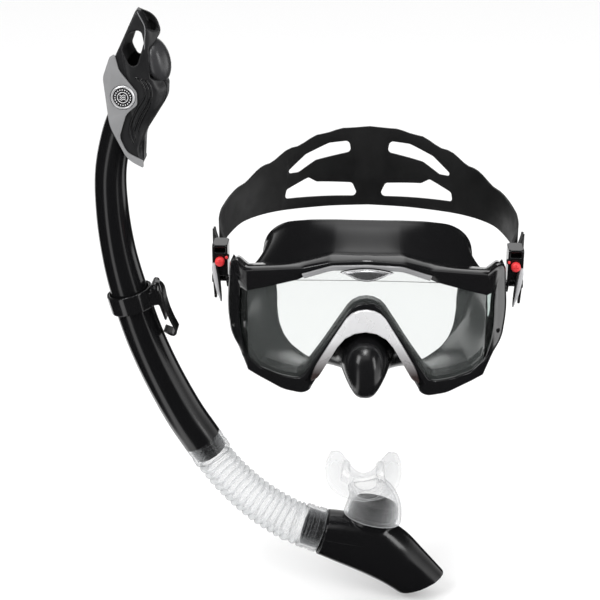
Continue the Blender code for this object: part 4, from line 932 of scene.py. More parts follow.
class Finish:
    """Node material with a Principled shader and its usual patterns."""

    def __init__(self, name, color, roughness, **values):
        self.material = bpy.data.materials.new(name)
        self.material.use_nodes = True
        self.tree = self.material.node_tree
        self.shader = self.tree.nodes["Principled BSDF"]
        self.color = color
        self.roughness = roughness
        self.set("Base Color", (*color, 1))
        self.set("Roughness", roughness)
        for key, value in values.items():
            self.set(key.replace("_", " "), value)
        self.place = self.node("ShaderNodeTexCoord").outputs["Object"]

    def node(self, kind, **inputs):
        """New node with its inputs set."""
        made = self.tree.nodes.new(kind)
        for key, value in inputs.items():
            made.inputs[key.replace("_", " ")].default_value = value
        return made

    def set(self, socket, value):
        """Fixed value on the shader's own socket."""
        self.shader.inputs[socket].default_value = value

    def link(self, source, target):
        """Join two sockets."""
        self.tree.links.new(source, target)

    def noise(self, scale, detail=3.0, stretch=None):
        """Noise over the object; stretch lengthens it along an axis."""
        made = self.node("ShaderNodeTexNoise", Scale=scale, Detail=detail)
        source = self.place
        if stretch:
            mapping = self.node("ShaderNodeMapping", Scale=stretch)
            self.link(source, mapping.inputs["Vector"])
            source = mapping.outputs["Vector"]
        self.link(source, made.inputs["Vector"])
        return made.outputs["Fac"]

    def ranged(self, source, low, high, start=0.35, end=0.65):
        """Source stretched from start..end to low..high."""
        made = self.node("ShaderNodeMapRange", From_Min=start, From_Max=end, To_Min=low,
                         To_Max=high)
        self.link(source, made.inputs["Value"])
        return made.outputs["Result"]

    def rough(self, scale, spread, stretch=None):
        """Uneven gloss: handling marks and mould flow."""
        source = self.noise(scale, 4.0, stretch)
        self.link(self.ranged(source, self.roughness * (1 - spread),
                              self.roughness * (1 + spread)), self.shader.inputs["Roughness"])
        return self

    def tone(self, scale, spread):
        """Slight change of colour over the surface."""
        return self.between(self.ranged(self.noise(scale, 5.0), 0, 1),
                            [c * (1 - spread) for c in self.color],
                            [c * (1 + spread) for c in self.color])

    def between(self, source, first, second):
        """Base colour from first to second as source goes from 0 to 1."""
        made = self.node("ShaderNodeMix")
        made.data_type = "RGBA"
        made.inputs[6].default_value = (*first, 1)
        made.inputs[7].default_value = (*second, 1)
        self.link(source, made.inputs[0])
        self.link(made.outputs[2], self.shader.inputs["Base Color"])
        return self

    def surface(self, shader):
        """Use this shader as the material's surface."""
        self.link(shader, self.tree.nodes["Material Output"].inputs["Surface"])

    def grain(self, scale, depth, stretch=None, detail=3.0):
        """Moulded texture as relief, depth in millimetres."""
        bump = self.node("ShaderNodeBump", Strength=1.0, Distance=depth * MM)
        self.link(self.noise(scale, detail, stretch), bump.inputs["Height"])
        self.link(bump.outputs["Normal"], self.shader.inputs["Normal"])
        return self


def silver_with_painted_shade(name, bright, dark):
    """Silver with painted shade: it darkens towards the lower ends of the chevron."""
    finish = Finish(name, bright, 0.3, Metallic=0.35)
    split = finish.node("ShaderNodeSeparateXYZ")
    finish.link(finish.place, split.inputs["Vector"])
    finish.between(finish.ranged(split.outputs["Z"], 0, 1, -0.033, -0.008), dark, bright)
    return finish.rough(90, 0.3).grain(900, 0.005).material


def pane(name, tint, sheen_roughness, veil=0.0):
    """Thin clear glass: what is behind it, tinted, a faint veil, and a mirror by angle."""
    finish = Finish(name, tint, 0.6)
    clear = finish.node("ShaderNodeBsdfTransparent", Color=(*tint, 1))
    gloss = finish.node("ShaderNodeBsdfGlossy", Color=(1, 1, 1, 1), Roughness=sheen_roughness)
    fresnel = finish.node("ShaderNodeFresnel", IOR=1.5)
    haze = finish.node("ShaderNodeMixShader", Fac=veil)
    mix = finish.node("ShaderNodeMixShader")
    wipe = finish.noise(60, 4.0, (1, 1, 0.3))
    finish.link(finish.ranged(wipe, sheen_roughness * 0.5, sheen_roughness * 2.0),
                gloss.inputs["Roughness"])
    finish.link(clear.outputs["BSDF"], haze.inputs[1])
    finish.link(finish.shader.outputs["BSDF"], haze.inputs[2])
    finish.set("Base Color", (0.80, 0.86, 0.84, 1))
    finish.link(fresnel.outputs["Fac"], mix.inputs[0])
    finish.link(haze.outputs["Shader"], mix.inputs[1])
    finish.link(gloss.outputs["BSDF"], mix.inputs[2])
    finish.surface(mix.outputs["Shader"])
    return finish.material


def film(name, tint, body, edge, least, most, roughness):
    """Clear soft plastic: nearly see-through face on, denser and darker along its edges."""
    finish = Finish(name, body, roughness, IOR=1.42)
    clear = finish.node("ShaderNodeBsdfTransparent", Color=(tint, tint, tint, 1))
    facing = finish.node("ShaderNodeLayerWeight", Blend=0.42).outputs["Facing"]
    density = finish.ranged(facing, least, most, 0.08, 0.85)
    finish.between(finish.ranged(facing, 0, 1, 0.45, 0.95), body, edge)
    mix = finish.node("ShaderNodeMixShader")
    finish.link(density, mix.inputs[0])
    finish.link(clear.outputs["BSDF"], mix.inputs[1])
    finish.link(finish.shader.outputs["BSDF"], mix.inputs[2])
    finish.surface(mix.outputs["Shader"])
    return finish.rough(90, 0.3).grain(160, 0.006, detail=1.5).material


# Opaque finishes: use, material, colour, roughness, shader values, uneven gloss (scale, spread,
# stretch), change of colour (scale, spread), grain (scale, depth in millimetres, stretch).
OPAQUE = [
    ("gloss", "gloss_black", (0.006, 0.006, 0.0065), 0.13,
     {"Coat_Weight": 0.25, "Coat_Roughness": 0.04}, (70, 0.35), None, (500, 0.004)),
    ("tube", "tube_black", (0.005, 0.005, 0.0055), 0.16, {}, (45, 0.3, (1, 1, 0.2)), None,
     (320, 0.006)),
    ("silicone", "black_silicone", (0.0065, 0.0065, 0.007), 0.2, {"Specular_IOR_Level": 0.45},
     (50, 0.2), None, (420, 0.0022)),
    ("strap", "strap_silicone", (0.0045, 0.0045, 0.0048), 0.55,
     {"Specular_IOR_Level": 0.35, "Sheen_Weight": 0.04}, (60, 0.18), (90, 0.18), (1500, 0.02)),
    ("matt", "matt_housing", (0.011, 0.011, 0.012), 0.42, {"Specular_IOR_Level": 0.5},
     (80, 0.2), (60, 0.15), (1800, 0.018)),
    ("badge", "badge_satin", (0.42, 0.42, 0.43), 0.24, {"Metallic": 0.9}, (90, 0.3), None,
     (900, 0.004)),
    # painted highlight: light grey for the thread along the dry top's inlet edge, standing for
    # the light caught by that edge
    ("edge", "worn_edge", (0.16, 0.16, 0.165), 0.35, {}, (80, 0.2), (60, 0.1), (1200, 0.01)),
    ("dome", "satin_dome", (0.032, 0.032, 0.034), 0.3, {}, (60, 0.2), None, (1200, 0.01)),
    ("grey", "grey_trim", (0.27, 0.27, 0.275), 0.42, {"Metallic": 0.25}, (80, 0.2), (50, 0.08),
     (1500, 0.012)),
    ("silver", "bright_trim", (0.70, 0.70, 0.71), 0.26, {"Metallic": 0.55}, (90, 0.3), None,
     (900, 0.004)),
    ("steel", "steel", (0.55, 0.55, 0.57), 0.3, {"Metallic": 1.0}, (200, 0.3), None,
     (900, 0.004, (1, 1, 0.1))),
    ("red", "red_button", (0.72, 0.035, 0.04), 0.38, {}, (150, 0.2), (200, 0.12),
     (1400, 0.015)),
    ("shield", "buckle_shield", (0.42, 0.42, 0.43), 0.3, {}, (90, 0.2), None, (900, 0.008)),
    ("foam", "float_foam", (0.72, 0.66, 0.5), 0.85, {}, None, (400, 0.2), (1500, 0.06)),
    ("white_mark", "printed_mark", (0.85, 0.85, 0.86), 0.35, {"Metallic": 0.4}, (200, 0.2),
     None, (1500, 0.01)),
    # painted shade: darker, rougher black for the inside of the dry top's window, inlet and well,
    # standing for the shade in these hollows
    ("recess", "recess_black", (0.006, 0.006, 0.0065), 0.6, {}, None, (80, 0.2), (900, 0.02))]


def finishes():
    """All materials, by use."""
    out = {}
    for use, name, color, roughness, values, uneven, change, grain in OPAQUE:
        finish = Finish(name, color, roughness, **values)
        if uneven:
            finish.rough(*uneven)
        if change:
            finish.tone(*change)
        out[use] = finish.grain(*grain).material
    # painted shade: the chevron's silver turns near black towards its lower ends
    out["chevron"] = silver_with_painted_shade("chevron_silver", (0.80, 0.80, 0.81), (0.05, 0.034, 0.033))
    out["clear_soft"] = film("clear_silicone", 0.94, (0.80, 0.81, 0.82), (0.46, 0.47, 0.48),
                             0.035, 0.60, 0.2)
    out["clear_hose"] = film("clear_hose", 0.955, (0.80, 0.81, 0.82), (0.27, 0.285, 0.29),
                             0.09, 0.9, 0.16)
    out["clear_hard"] = film("clear_plastic", 0.96, (0.42, 0.43, 0.44), (0.30, 0.31, 0.32),
                             0.02, 0.55, 0.06)
    out["glass"] = pane("front_glass", (0.93, 0.94, 0.935), 0.015, 0.04)
    out["side_glass"] = pane("side_glass", (0.72, 0.78, 0.76), 0.03, 0.015)
    return out


# ==== Mask pieces ===========================================================================

def front_frame(ring, black):
    """Frame with rolled outer edges, a crisp lip and its two lugs."""
    rings = []
    for s in ring:
        inner, outer = seats(s)
        taper = 4.0 if s.window.y > 20 and s.cross is None else 1.5
        taper = min(taper, s.span - WALL_IN - 1.6)
        rings.append([s.at(a, b) for a, b in (
            (0.1, LIP), (0, LIP - 0.2), (0, inner + 0.9), (0.12, inner + 0.45),
            (0.4, inner + 0.12), (0.9, inner), (TRIM_EDGE - 0.15, inner),
            (TRIM_EDGE, (inner + outer) / 2), (TRIM_EDGE + 0.15, outer),
            (s.span - 2.6, outer), (s.span - 1.6, outer + 0.18), (s.span - 0.8, outer + 0.7),
            (s.span - 0.22, outer + 1.6), (s.span, outer + 2.8),
            (s.span - taper * 0.45, (outer + s.rear) * 0.5),
            (s.span - taper, s.rear - 0.9), (s.span - taper - 0.3, s.rear - 0.25),
            (s.span - taper - 0.9, s.rear), (WALL_IN, s.rear), (WALL_IN, LIP))])
    frame_obj = make("mask_frame", *loft(rings, closed_path=True), black)
    outline = [(-29, 16.5, 2), (-9.5, 15.5, 4.5), (-9.5, 6.5, 4.5), (-29, 5.5, 2)]
    lug = plate(outline, (-88.6, -84.6))
    lugs = [eased(make("lug", *flipped(lug, side), black), 0.5) for side in (-1, 1)]
    return joined([frame_obj] + lugs)


def melted(rows, ring):
    """Rows of the skirt with their corners rounded off, more with distance from the frame."""
    rim = rows[-2]
    count = len(ring)
    step = [(rim[(i + 1) % count] - rim[i]).length for i in range(count)]
    weight = [(step[i] + step[i - 1]) / 2 + 0.01 for i in range(count)]
    out = [rows[0]]
    for r, row in enumerate(rows[1:], 1):
        new = []
        for i, station in enumerate(ring):
            widest = MELT_HIGH if station.rim.y > -18 else MELT_LOW
            reach = widest * min(1.0, r / 3) if station.cross is None else MELT_NOSE
            total, mean = weight[i], row[i] * weight[i]
            for way in (1, -1):
                along, j = 0.0, i
                while along < 2.2 * reach:
                    along += step[j] if way > 0 else step[j - 1]
                    j = (j + way) % count
                    w = weight[j] * math.exp(-(along / reach) ** 2)
                    total += w
                    mean = mean + row[j] * w
            new.append(mean / total)
        out.append(new)
    return out


def skirt(ring, rubber):
    """Silicone skirt with soft corners and a turned-in lip."""
    rows = melted(skirt_rows(ring), ring)
    count = len(ring)
    columns = [spline([tuple(row[i]) for row in rows], 3) for i in range(count)]
    outer = [[Vector(columns[i][r]) for i in range(count)] for r in range(len(columns[0]))]
    points, faces = loft(outer, capped=False)
    sheet = bpy.data.meshes.new("sheet")
    sheet.from_pydata([tuple(p) for p in points], [], faces)
    probe = sheet.vertices[count * 8].normal.dot(points[count * 8] - Vector((0, -20, 0)))
    depth = SKIRT_THICK if probe > 0 else -SKIRT_THICK
    inner = [[points[r * count + i] - sheet.vertices[r * count + i].normal * depth
              for i in range(count)] for r in range(len(outer))]
    bpy.data.meshes.remove(sheet)
    bore = SKIRT_OUT - SKIRT_THICK
    inner[0] = [s.at(bore, s.rear - 0.3) if s.cross is None else p
                for s, p in zip(ring, inner[0])]
    flange = [(SKIRT_FLANGE, GAP), (SKIRT_FLANGE, GAP + SKIRT_THICK),
              (SKIRT_OUT, GAP + SKIRT_THICK)]
    collar = [[s.at(a, s.glass_back + b) for s in ring] for a, b in flange]
    collar += outer + inner[::-1]
    collar.append([s.at(bore, s.glass_back + GAP) for s in ring])
    return make("mask_skirt", *loft(collar, closed_path=True), rubber, smooth=75)


STUDS = [(-83.2, -45.2, -8.4), (-76.6, -57.6, -22.9)]   # small studs on the frame's side


BOSS_HALF, BOSS_MIDDLE = 15.3, 37.4     # half width and height of the brow's boss
BOSS_RISE, BOSS_DROP = 2.0, 4.9         # how far it arches up and hangs down
STUDS = [(-83.2, -45.2, -8.4), (-76.6, -57.6, -22.9)]   # small studs on the frame's side


def badge_outline(grow):
    """Outline of the brow's boss, a shallow arch over a deeper pointed bowl."""
    half = BOSS_HALF + grow
    out = []
    for k in range(96):
        t = 4 * k / 96
        x = half * (1 - t if t < 2 else t - 3)
        part = min(1.0, abs(x) / half)
        if t < 2:
            out.append((x, BOSS_MIDDLE + (BOSS_RISE + grow) * (1 - part * part)))
        else:
            out.append((x, BOSS_MIDDLE - (BOSS_DROP + grow)
                        * math.cos(math.pi * part / 2) ** 1.3))
    return out


def boss_lines(look):
    """Bright line and dark line round the brow's boss."""
    for name, paint, slot, grow, level in (
            ("boss_line", "silver", "bright_trim", 0.0, -2.1),
            ("boss_edge", "gloss", "frame_plastic", 0.7, -1.2)):
        loop = [Vector((x, FRAME_FRONT + level, z)) for x, z in badge_outline(grow)]
        heads = [(loop[(k + 1) % 96] - loop[k - 1]).normalized() for k in range(96)]
        rings = [ring_at(p, h, 0.42, 8) for p, h in zip(loop, heads)]
        edge = make(name, *loft(rings, closed_path=False), look[paint], smooth=80)
        show(edge, "mask", slot)


def studs(look):
    """Studs on both sides of the frame."""
    profile = [(1.2, 1.5), (-0.5, 1.5), (-0.9, 1.1), (-1.1, 0.5)]
    for x, y, z in STUDS:
        for side in (-1, 1):
            data = turned(profile, Vector((x, y, z)), Vector((-0.35, 1, 0)), 20, closed=False)
            stud = make(side_name("stud_%d" % round(-z), side), *flipped(data, side),
                        look["gloss"])
            show(stud, "mask", "frame_plastic")


def glass_bead(look):
    """Fine moulded line across the top of the glass."""
    line = [Vector((x, FRAME_FRONT + LENS_FRONT - 0.35, 28.6 + 1.6 * math.cos(x / 62)))
            for x in (-62 + 124 * k / 80 for k in range(81))]
    bead = make("glass_bead", *tube_along(line, 0.24, 8), look["grey"], smooth=80)
    show(bead, "mask", "clear_plastic")


def mask(look):
    """All pieces that ride on the mask itself."""
    ring = stations()
    for piece, name, slot, node in (
            (front_frame(ring, look["gloss"]), "mask_frame", "frame_plastic", "front_frame"),
            (clamp_ring(ring, look["gloss"]), "skirt_clamp", "frame_plastic", "clamp_ring"),
            (skirt(ring, look["silicone"]), "mask_skirt", "black_silicone", "skirt"),
            (eased(nose_trim(ring, look["chevron"]), 0.25, 2), "nose_chevron", "bright_trim",
             "nose_trim"),
            (brow_trim(ring, look["grey"]), "brow_strip", "grey_trim", "brow_trim"),
            (eased(brow_badge(look["badge"]), 0.5, 4, 25), "brow_boss", "bright_trim",
             "brow_badge")):
        piece.name = name
        show(piece, "mask", slot, node)
    boss_lines(look)
    studs(look)
    glass_bead(look)


def teeth(side, rubber):
    """Ribs across the strap's free end."""
    rows = []
    plan = [Vector((p.x, p.y)) for p in tail_plan()[:4]]
    length = sum((b - a).length for a, b in zip(plan, plan[1:]))
    count = 16
    for k in range(count):
        want = length * (k + 0.5) / count
        for a, b in zip(plan, plan[1:]):
            if want <= (b - a).length:
                break
            want -= (b - a).length
        spot = a + (b - a).normalized() * want
        normal = Vector(((b - a).y, -(b - a).x)).normalized()
        centre = spot + normal * (STRAP_THICK / 2 + 0.15)
        low, high = STRAP_BOTTOM[0][1] + 1.2, STRAP_TOP[0][1] - 1.2
        rib = rod(Vector((centre.x, centre.y, low)), Vector((centre.x, centre.y, high)),
                  0.65, 10)
        rows.append(make("rib", *flipped(rib, side), rubber))
    return joined(rows)


def spring_coil(side, steel):
    """Small coil spring behind the release button."""
    x, z = BUTTON
    turns, steps = 3.0, 60
    path = []
    for k in range(steps + 1):
        t = k / steps
        angle = turns * 2 * math.pi * t
        path.append(Vector((x + 2.25 * math.cos(angle), CAGE_FRONT + 0.3 + 1.25 * t,
                            z + 2.25 * math.sin(angle))))
    data = tube_along(path, 0.26, 8)
    return make(side_name("coil", side), *flipped(data, side), steel, smooth=80)


def button(side, red):
    """Release button with a domed, cross-cut cap."""
    x, z = BUTTON
    profile = [(0, 1.6), (-5.0, 1.6), (-5.0, BUTTON_R), (-6.9, BUTTON_R), (-7.6, 2.8),
               (-8.1, 2.1), (-8.3, 1.2), (-8.4, 0.3)]
    data = turned(profile, Vector((x, CAGE_FRONT + 4.1, z)), Vector((0, 1, 0)), SMALL_SIDES,
                  closed=False)
    body = make(side_name("button", side), *flipped(data, side), red)
    front = CAGE_FRONT + 4.1 - 8.7
    cuts = [block((x - 2.0, x + 2.0), (front, front + 0.9), (z - 0.3, z + 0.3)),
            block((x - 0.3, x + 0.3), (front, front + 0.9), (z - 2.0, z + 2.0))]
    combine(body, [make("cut", *flipped(c, side), red) for c in cuts], "DIFFERENCE")
    return body


def buckle_extras(side, look):
    """Index dot and the tapering blade down the buckle's front."""
    x, z = BUTTON
    dot = turned([(0.6, 1.0), (-0.7, 1.0), (-1.0, 0.6)],
                 Vector((x + 4.2, CAGE_FRONT, z + 2.4)), Vector((0, 1, 0)), 20, closed=False)
    dot = make(side_name("index_dot", side), *flipped(dot, side), look["red"])
    base = rod(Vector((x + 4.2, CAGE_FRONT - 0.2, z + 2.4)),
               Vector((x + 4.2, CAGE_FRONT + 2.6, z + 2.4)), 1.6, 24)
    base = make(side_name("dot_seat", side), *flipped(base, side), look["gloss"])
    blades = []
    for name, near, far, paint in (("shield", 0.0, 0.64, "shield"),
                                   ("shield_edge", 0.6, 1.0, "gloss")):
        rings = []
        for level, wide_left, wide_right, y in (
                (25.0, -99.6, -96.6, -22.8), (21, -99.9, -95.6, -23.4),
                (14, -99.0, -94.6, -23.4), (7, -97.8, -94.2, -22.6),
                (1.5, -96.5, -94.2, -20.6), (-3.4, -95.4, -94.5, -18.4)):
            left = wide_left + (wide_right - wide_left) * near
            right = wide_left + (wide_right - wide_left) * far
            rings.append([Vector((across, y + back, level)) for across, back in (
                (left, -0.2), ((left + right) / 2, -0.8), (right, -0.6), (right, 1.2),
                (left, 1.2))])
        points = [spline([tuple(r[k]) for r in rings], 5) for k in range(5)]
        fine = [[Vector(points[k][i]) for k in range(5)] for i in range(len(points[0]))]
        blade = make(side_name(name, side), *flipped(loft(fine), side), look[paint])
        blades.append(eased(blade, 0.25, 2))
    return [dot, base] + blades


def strap_pieces(look):
    """Strap, buckles, springs and buttons."""
    band = strap(look["strap"])
    band.name = "head_band"
    eased(band, 0.45, 3, 50)
    show(band, "head_strap", "black_silicone", "strap")
    for side in (-1, 1):
        show(teeth(side, look["strap"]), "head_strap", "black_silicone").name = side_name(
            "strap_teeth", side)
        cage = buckle(side, look["gloss"])
        cage.name = side_name("buckle", side)
        moulded(cage, 0.32, 5)
        show(cage, "head_strap", "frame_plastic", side_name("buckle_body", side))
        for extra in buckle_extras(side, look):
            slot = {"index_dot": "red_button", "shield": "grey_trim"}.get(
                extra.name.rsplit("_", 1)[0], "frame_plastic")
            show(extra, "head_strap", slot)
        show(button(side, look["red"]), side_name("button", side), "red_button",
             side_name("release_button", side))
        show(spring_coil(side, look["steel"]), "head_strap", "steel",
             side_name("button_spring", side))


# ==== Snorkel pieces ========================================================================

# Ribs of the stub: level above the port, half width, half depth.
STUB_RIBS = [(2.4, 17.0, 10.8), (5.6, 17.1, 10.9), (8.8, 16.5, 10.5), (11.8, 16.1, 10.3)]


def ribbed_hose(clear):
    """Corrugated hose with rounded ribs."""
    route = hose_route()
    run = [0.0]
    for a, b in zip(route, route[1:]):
        run.append(run[-1] + (b - a).length)
    rows = HOSE_RIBS * 12
    outer, inner = [], []
    k = 0
    for step in range(rows + 1):
        want = run[-1] * step / rows
        while k < len(run) - 2 and run[k + 1] < want:
            k += 1
        part = (want - run[k]) / (run[k + 1] - run[k])
        spot = route[k].lerp(route[k + 1], part)
        before, after = route[max(k - 2, 0)], route[min(k + 3, len(route) - 1)]
        head = (after - before).normalized()
        t = step / rows
        crest = HOSE_RADII[0] + (HOSE_RADII[1] - HOSE_RADII[0]) * t
        wave = 0.5 - 0.5 * math.cos(2 * math.pi * HOSE_RIBS * t)
        wave = wave ** 0.75
        outer.append(ring_at(spot, head, crest - 1.7 * (1 - wave), SIDES))
        inner.append(ring_at(spot, head, crest - 1.2 - 1.7 * (1 - wave), SIDES))
    return make("hose", *loft(outer + inner[::-1], closed_path=True), clear, smooth=80)


def shield_point(s, t, level):
    """Point of the mouthpiece's flange: s along the teeth, t across them."""
    half = 22.0 - 7.5 * t - 2.0 * t * t
    low = -150.2 + 1.5 * t - 1.2 * t * t
    top = -123.5 - 9.5 * t * t
    angle = s * math.pi / 2
    lift = 1 - math.cos(angle) ** 1.15 if abs(s) < 0.999 else 1.0
    x = half * math.sin(angle)
    z = low + (top - low) * lift
    inward = Vector((-math.sin(angle), 0, math.cos(angle)))
    return Vector((x + 0.3, t * 15.5, z)) + inward * level


def mouthpiece(clear):
    """Soft mouthpiece: neck, saddle-shaped flange and bite tabs, melted together."""
    axis = PORT_AXIS
    centres = [Vector((row[0][0], 0, row[0][1])) for row in NECK]
    heads = [axis] + [(b - a).normalized() for a, b in zip(centres, centres[1:])]
    rows = [(tuple(c) + tuple((axis + h).normalized()) + (half, depth))
            for c, h, (_, half, depth) in zip(centres, heads, NECK)]
    rows = spline(rows, 5)
    outer = [ring_at(Vector(r[:3]), Vector(r[3:6]), r[7], SIDES, second=r[6]) for r in rows]
    inner = [ring_at(Vector(r[:3]), Vector(r[3:6]), r[7] - NECK_WALL, SIDES,
                     second=r[6] - NECK_WALL) for r in rows]
    body = make("bite_piece", *loft(outer + inner[::-1], closed_path=True), clear)
    top, bottom = [], []
    count_s, count_t = 48, 24
    for i in range(count_s + 1):
        s = -1 + 2 * i / count_s
        end = max(0.0, (abs(s) - 0.45) / 0.55)
        span = math.sqrt(max(0.0, 1 - end * end)) * 0.97 + 0.03
        row = [(-1 + 2 * j / count_t) * span for j in range(count_t + 1)]
        top.append([shield_point(s, t, 1.3) for t in row])
        bottom.append([shield_point(s, t, -1.3) for t in row])
    rings = [a + b[::-1] for a, b in zip(top, bottom)]
    tools = [make("flange", *loft(rings), clear)]
    for side in (-1, 1):
        tab = [(side * 9.5, -149, 1), (side * 15.5, -145.0, 1), (side * 14.0, -133.5, 2.4),
               (side * 9.0, -134.5, 2.4)]
        if side > 0:
            tab.reverse()
        tools.append(make("tab", *prism(rounded(tab, 6, 2), -7.5, 7.5, upright), clear))
    combine(body, tools, "UNION")
    bore = [ring_at(Vector((x, 0, z)), Vector((0, 0, 1)), 6.2, 40, second=half)
            for x, z, half in ((5.0, -158, 10.5), (3.2, -150, 9.2), (0.8, -138, 8.2))]
    combine(body, [make("bore", *loft(bore), clear)], "DIFFERENCE")
    return moulded(body, 0.55, 8)


def clear_collar(name, start, axis, radius, bore, clear):
    """Clear collar with two raised bands."""
    rows = [(GAP, radius - 0.5), (GAP + 0.4, radius), (1.9, radius + 0.1), (2.2, radius - 0.35),
            (2.8, radius - 0.35), (3.1, radius + 0.1), (4.8, radius + 0.15),
            (5.2, radius - 0.55), (7.0, radius - 0.55), (7.3, radius - 0.1), (7.9, radius - 0.1),
            (8.2, radius - 0.55), (9.3, radius - 0.55), (9.7, radius + 0.25),
            (COUPLER_LENGTH - 1.2, radius + 0.35), (COUPLER_LENGTH - 0.6, radius - 0.1),
            (COUPLER_LENGTH - 0.6, bore), (GAP, bore)]
    return make(name, *turned(rows, start, axis, SIDES), clear, smooth=50)


def chamber_seam(black):
    """Parting line on each side of the chamber."""
    route = spline([(-27.5, -186.0), (-15.3, -188.0), (-6.8, -189.4), (3.1, -191.6),
                    (9.6, -196.4), (17.4, -202.4)], 8)
    threads = []
    for sign in (-1, 1):
        line = []
        for x, z in route:
            best = 16.4 - 0.0052 * max(0.0, x + 7) ** 2 - 0.3
            line.append(Vector((x, sign * best, z)))
        threads.append(make("seam", *tube_along(line, 0.3, 8), black, smooth=80))
    return joined(threads)


def rolled_keep(near):
    """Share of the dry top's thickness left close to its right edge."""
    return max(0.42, math.sqrt(1 - (1 - near) ** 2))


def grooves(black):
    """Raised wavy lines on both faces of the dry top."""
    routes = [[(-145.9, 143.9), (-142.5, 140.9), (-140.2, 135.8),
               (-141.0, 130.7), (-145.1, 124.2), (-148.5, 117.7), (-150.7, 111.2),
               (-150.4, 104.7), (-147.5, 98.2)],
              [(-142.4, 142.8), (-138.8, 138.2), (-137.8, 132.0),
               (-140.0, 126.2), (-144.0, 119.7), (-146.8, 113.2), (-148.3, 108.0),
               (-147.3, 102.1)],
              [(-139.4, 142.9), (-136.6, 137.6), (-136.3, 131.0),
               (-138.4, 124.9), (-141.8, 119.0), (-144.6, 113.0), (-146.0, 107.6)]]
    made = []
    for sign in (-1, 1):
        for route in routes:
            line = []
            for x, z in spline(route, 8):
                near = limited((silhouette(z) - x) / ROLL)
                line.append(Vector((x, sign * (HOUSING_HALF * rolled_keep(near) - 0.25), z)))
            made.append(make("line", *tube_along(line, 0.85, 12), black, smooth=80))
    return joined(made)


FACE = {-1: "front", 1: "back"}         # the dry top's two faces, by the sign of Y


def medallion(sign, look):
    """Round disc with a rim, a dark field, a ring of marks and three plain waves."""
    centre = Vector((EMBLEM[0], 0, EMBLEM[1]))
    out = Vector((0, sign, 0))
    base = centre + out * (HOUSING_HALF + GAP)
    disc = turned([(0, EMBLEM_R), (1.7, EMBLEM_R), (2.2, EMBLEM_R - 0.35),
                   (2.4, EMBLEM_R - 0.8), (2.2, EMBLEM_R - 1.3), (1.6, EMBLEM_R - 1.5)],
                  base, out, SIDES, closed=False)
    name = FACE[sign]
    rim = make("medallion_" + name, *disc, look["silver"])
    field = turned([(1.4, EMBLEM_R - 1.4), (1.8, EMBLEM_R - 1.5)], base, out, SIDES,
                   closed=False)
    field = make("medallion_field_" + name, *field, look["gloss"])
    marks = [make("mark", *turned([(1.7, 3.6), (2.05, 3.5), (2.05, 3.1), (1.7, 3.0)], base,
                                  out, SIDES), look["white_mark"])]
    for k in range(20):
        angle = 2 * math.pi * k / 20
        spot = base + Vector((math.cos(angle) * 4.9, 0, math.sin(angle) * 4.9))
        marks.append(make("mark", *rod(spot + out * 1.7, spot + out * 2.05, 0.42, 12),
                          look["white_mark"]))
    for height in (-1.3, 0.0, 1.3):
        wave = [base + Vector((x, sign * 1.85, height + 0.35 * math.sin(x * 2.4)))
                for x in (-2.0 + 4.0 * k / 30 for k in range(31))]
        marks.append(make("mark", *tube_along(wave, 0.24, 8), look["white_mark"], smooth=80))
    marks = joined(marks)
    marks.name = "medallion_marks_" + name
    return rim, field, marks


# Right edge of the dry top (z, x), where its faces roll away, and the inlet's front edge, along
# which the painted highlight thread runs.
SILHOUETTE = [(84, -144.2), (96, -145), (104, -142), (112, -138.3), (118.5, -133.8),
              (125, -129.8), (131.6, -127.7), (136, -127.3), (141, -129.5), (150, -131),
              (161, -131.5), (168, -131.2), (176, -133.0), (180.5, -136.5), (184.5, -144)]
SILHOUETTE = spline(SILHOUETTE, 6)
ROLL = 8.0
EDGE_LINE = [(-144.0, 6.9, 183.6), (-142.6, 7.6, 181.0), (-140.6, 8.6, 177.6),
             (-139.3, 9.6, 175.0), (-139.0, 10.4, 171.0), (-139.4, 10.9, 166.5),
             (-139.6, 11.4, 161.0)]


def silhouette(z):
    """Right edge of the dry top at a height."""
    return table(SILHOUETTE, z)


def rolled(obj):
    """Round the dry top's faces away towards its right edge."""
    for vertex in obj.data.vertices:
        x, z = vertex.co.x / MM, vertex.co.z / MM
        roll = ROLL * limited((z - 90) / 25, 0.05)
        near = limited((silhouette(z) - x) / roll)
        vertex.co.y *= rolled_keep(near)
    return obj


def paint_shade_inside(obj, dark):
    """Painted shade: a second, darker material inside the window, the inlet and its well."""
    obj.data.materials.append(dark)
    middle = Vector((-143.0, 162.0))
    for face in obj.data.polygons:
        c, n = face.center / MM, face.normal
        window = (-154.6 < c.x < -138.9 and 150 < c.z < 174 and abs(n.y) < 0.6
                  and n.x * (middle.x - c.x) + n.z * (middle.y - c.z) > 0)
        inlet = c.x > -143.4 and c.z > 164 and n.y < -0.35 and c.y > -3.0
        well = (-139.6 < c.x < -133.6 and 165 < c.z < 177.5 and abs(c.y) < 5.3
                and abs(n.y) < 0.8)
        if window or inlet or well:
            face.material_index = 1
    return obj


def dome(black):
    """Rounded cover over the float, leaning back along the housing's edge."""
    rings = []
    for k in range(1, 40):
        angle = math.pi * k / 40
        level, keep = math.cos(angle), math.sin(angle)
        centre = Vector((-134.0 - level * 14.2 * 0.16, 0, 152.0 + level * 14.2))
        rings.append([centre + Vector((8.7 * keep * math.cos(a), 12.1 * keep * math.sin(a), 0))
                      for a in (2 * math.pi * j / SIDES for j in range(SIDES))])
    cover = make("float_dome", *loft(rings), black, smooth=80)
    room = block((-142.0, -132.3), (-9.0, 9.0), (130.0, 140.8))
    combine(cover, [make("room", *room, black)], "DIFFERENCE")
    return crisp(cover)


def window_taper():
    """The window, narrower at the back of the housing than at its front."""
    front = rounded(WINDOW_CUT, 10, 6)
    focus = Vector((-142.6, 161.0))
    rings = []
    for y, keep in ((-20, 1.0), (-11, 1.0), (11, 0.74), (20, 0.70)):
        rings.append([upright(*(focus + (p - focus) * keep), y) for p in front])
    return loft(rings)


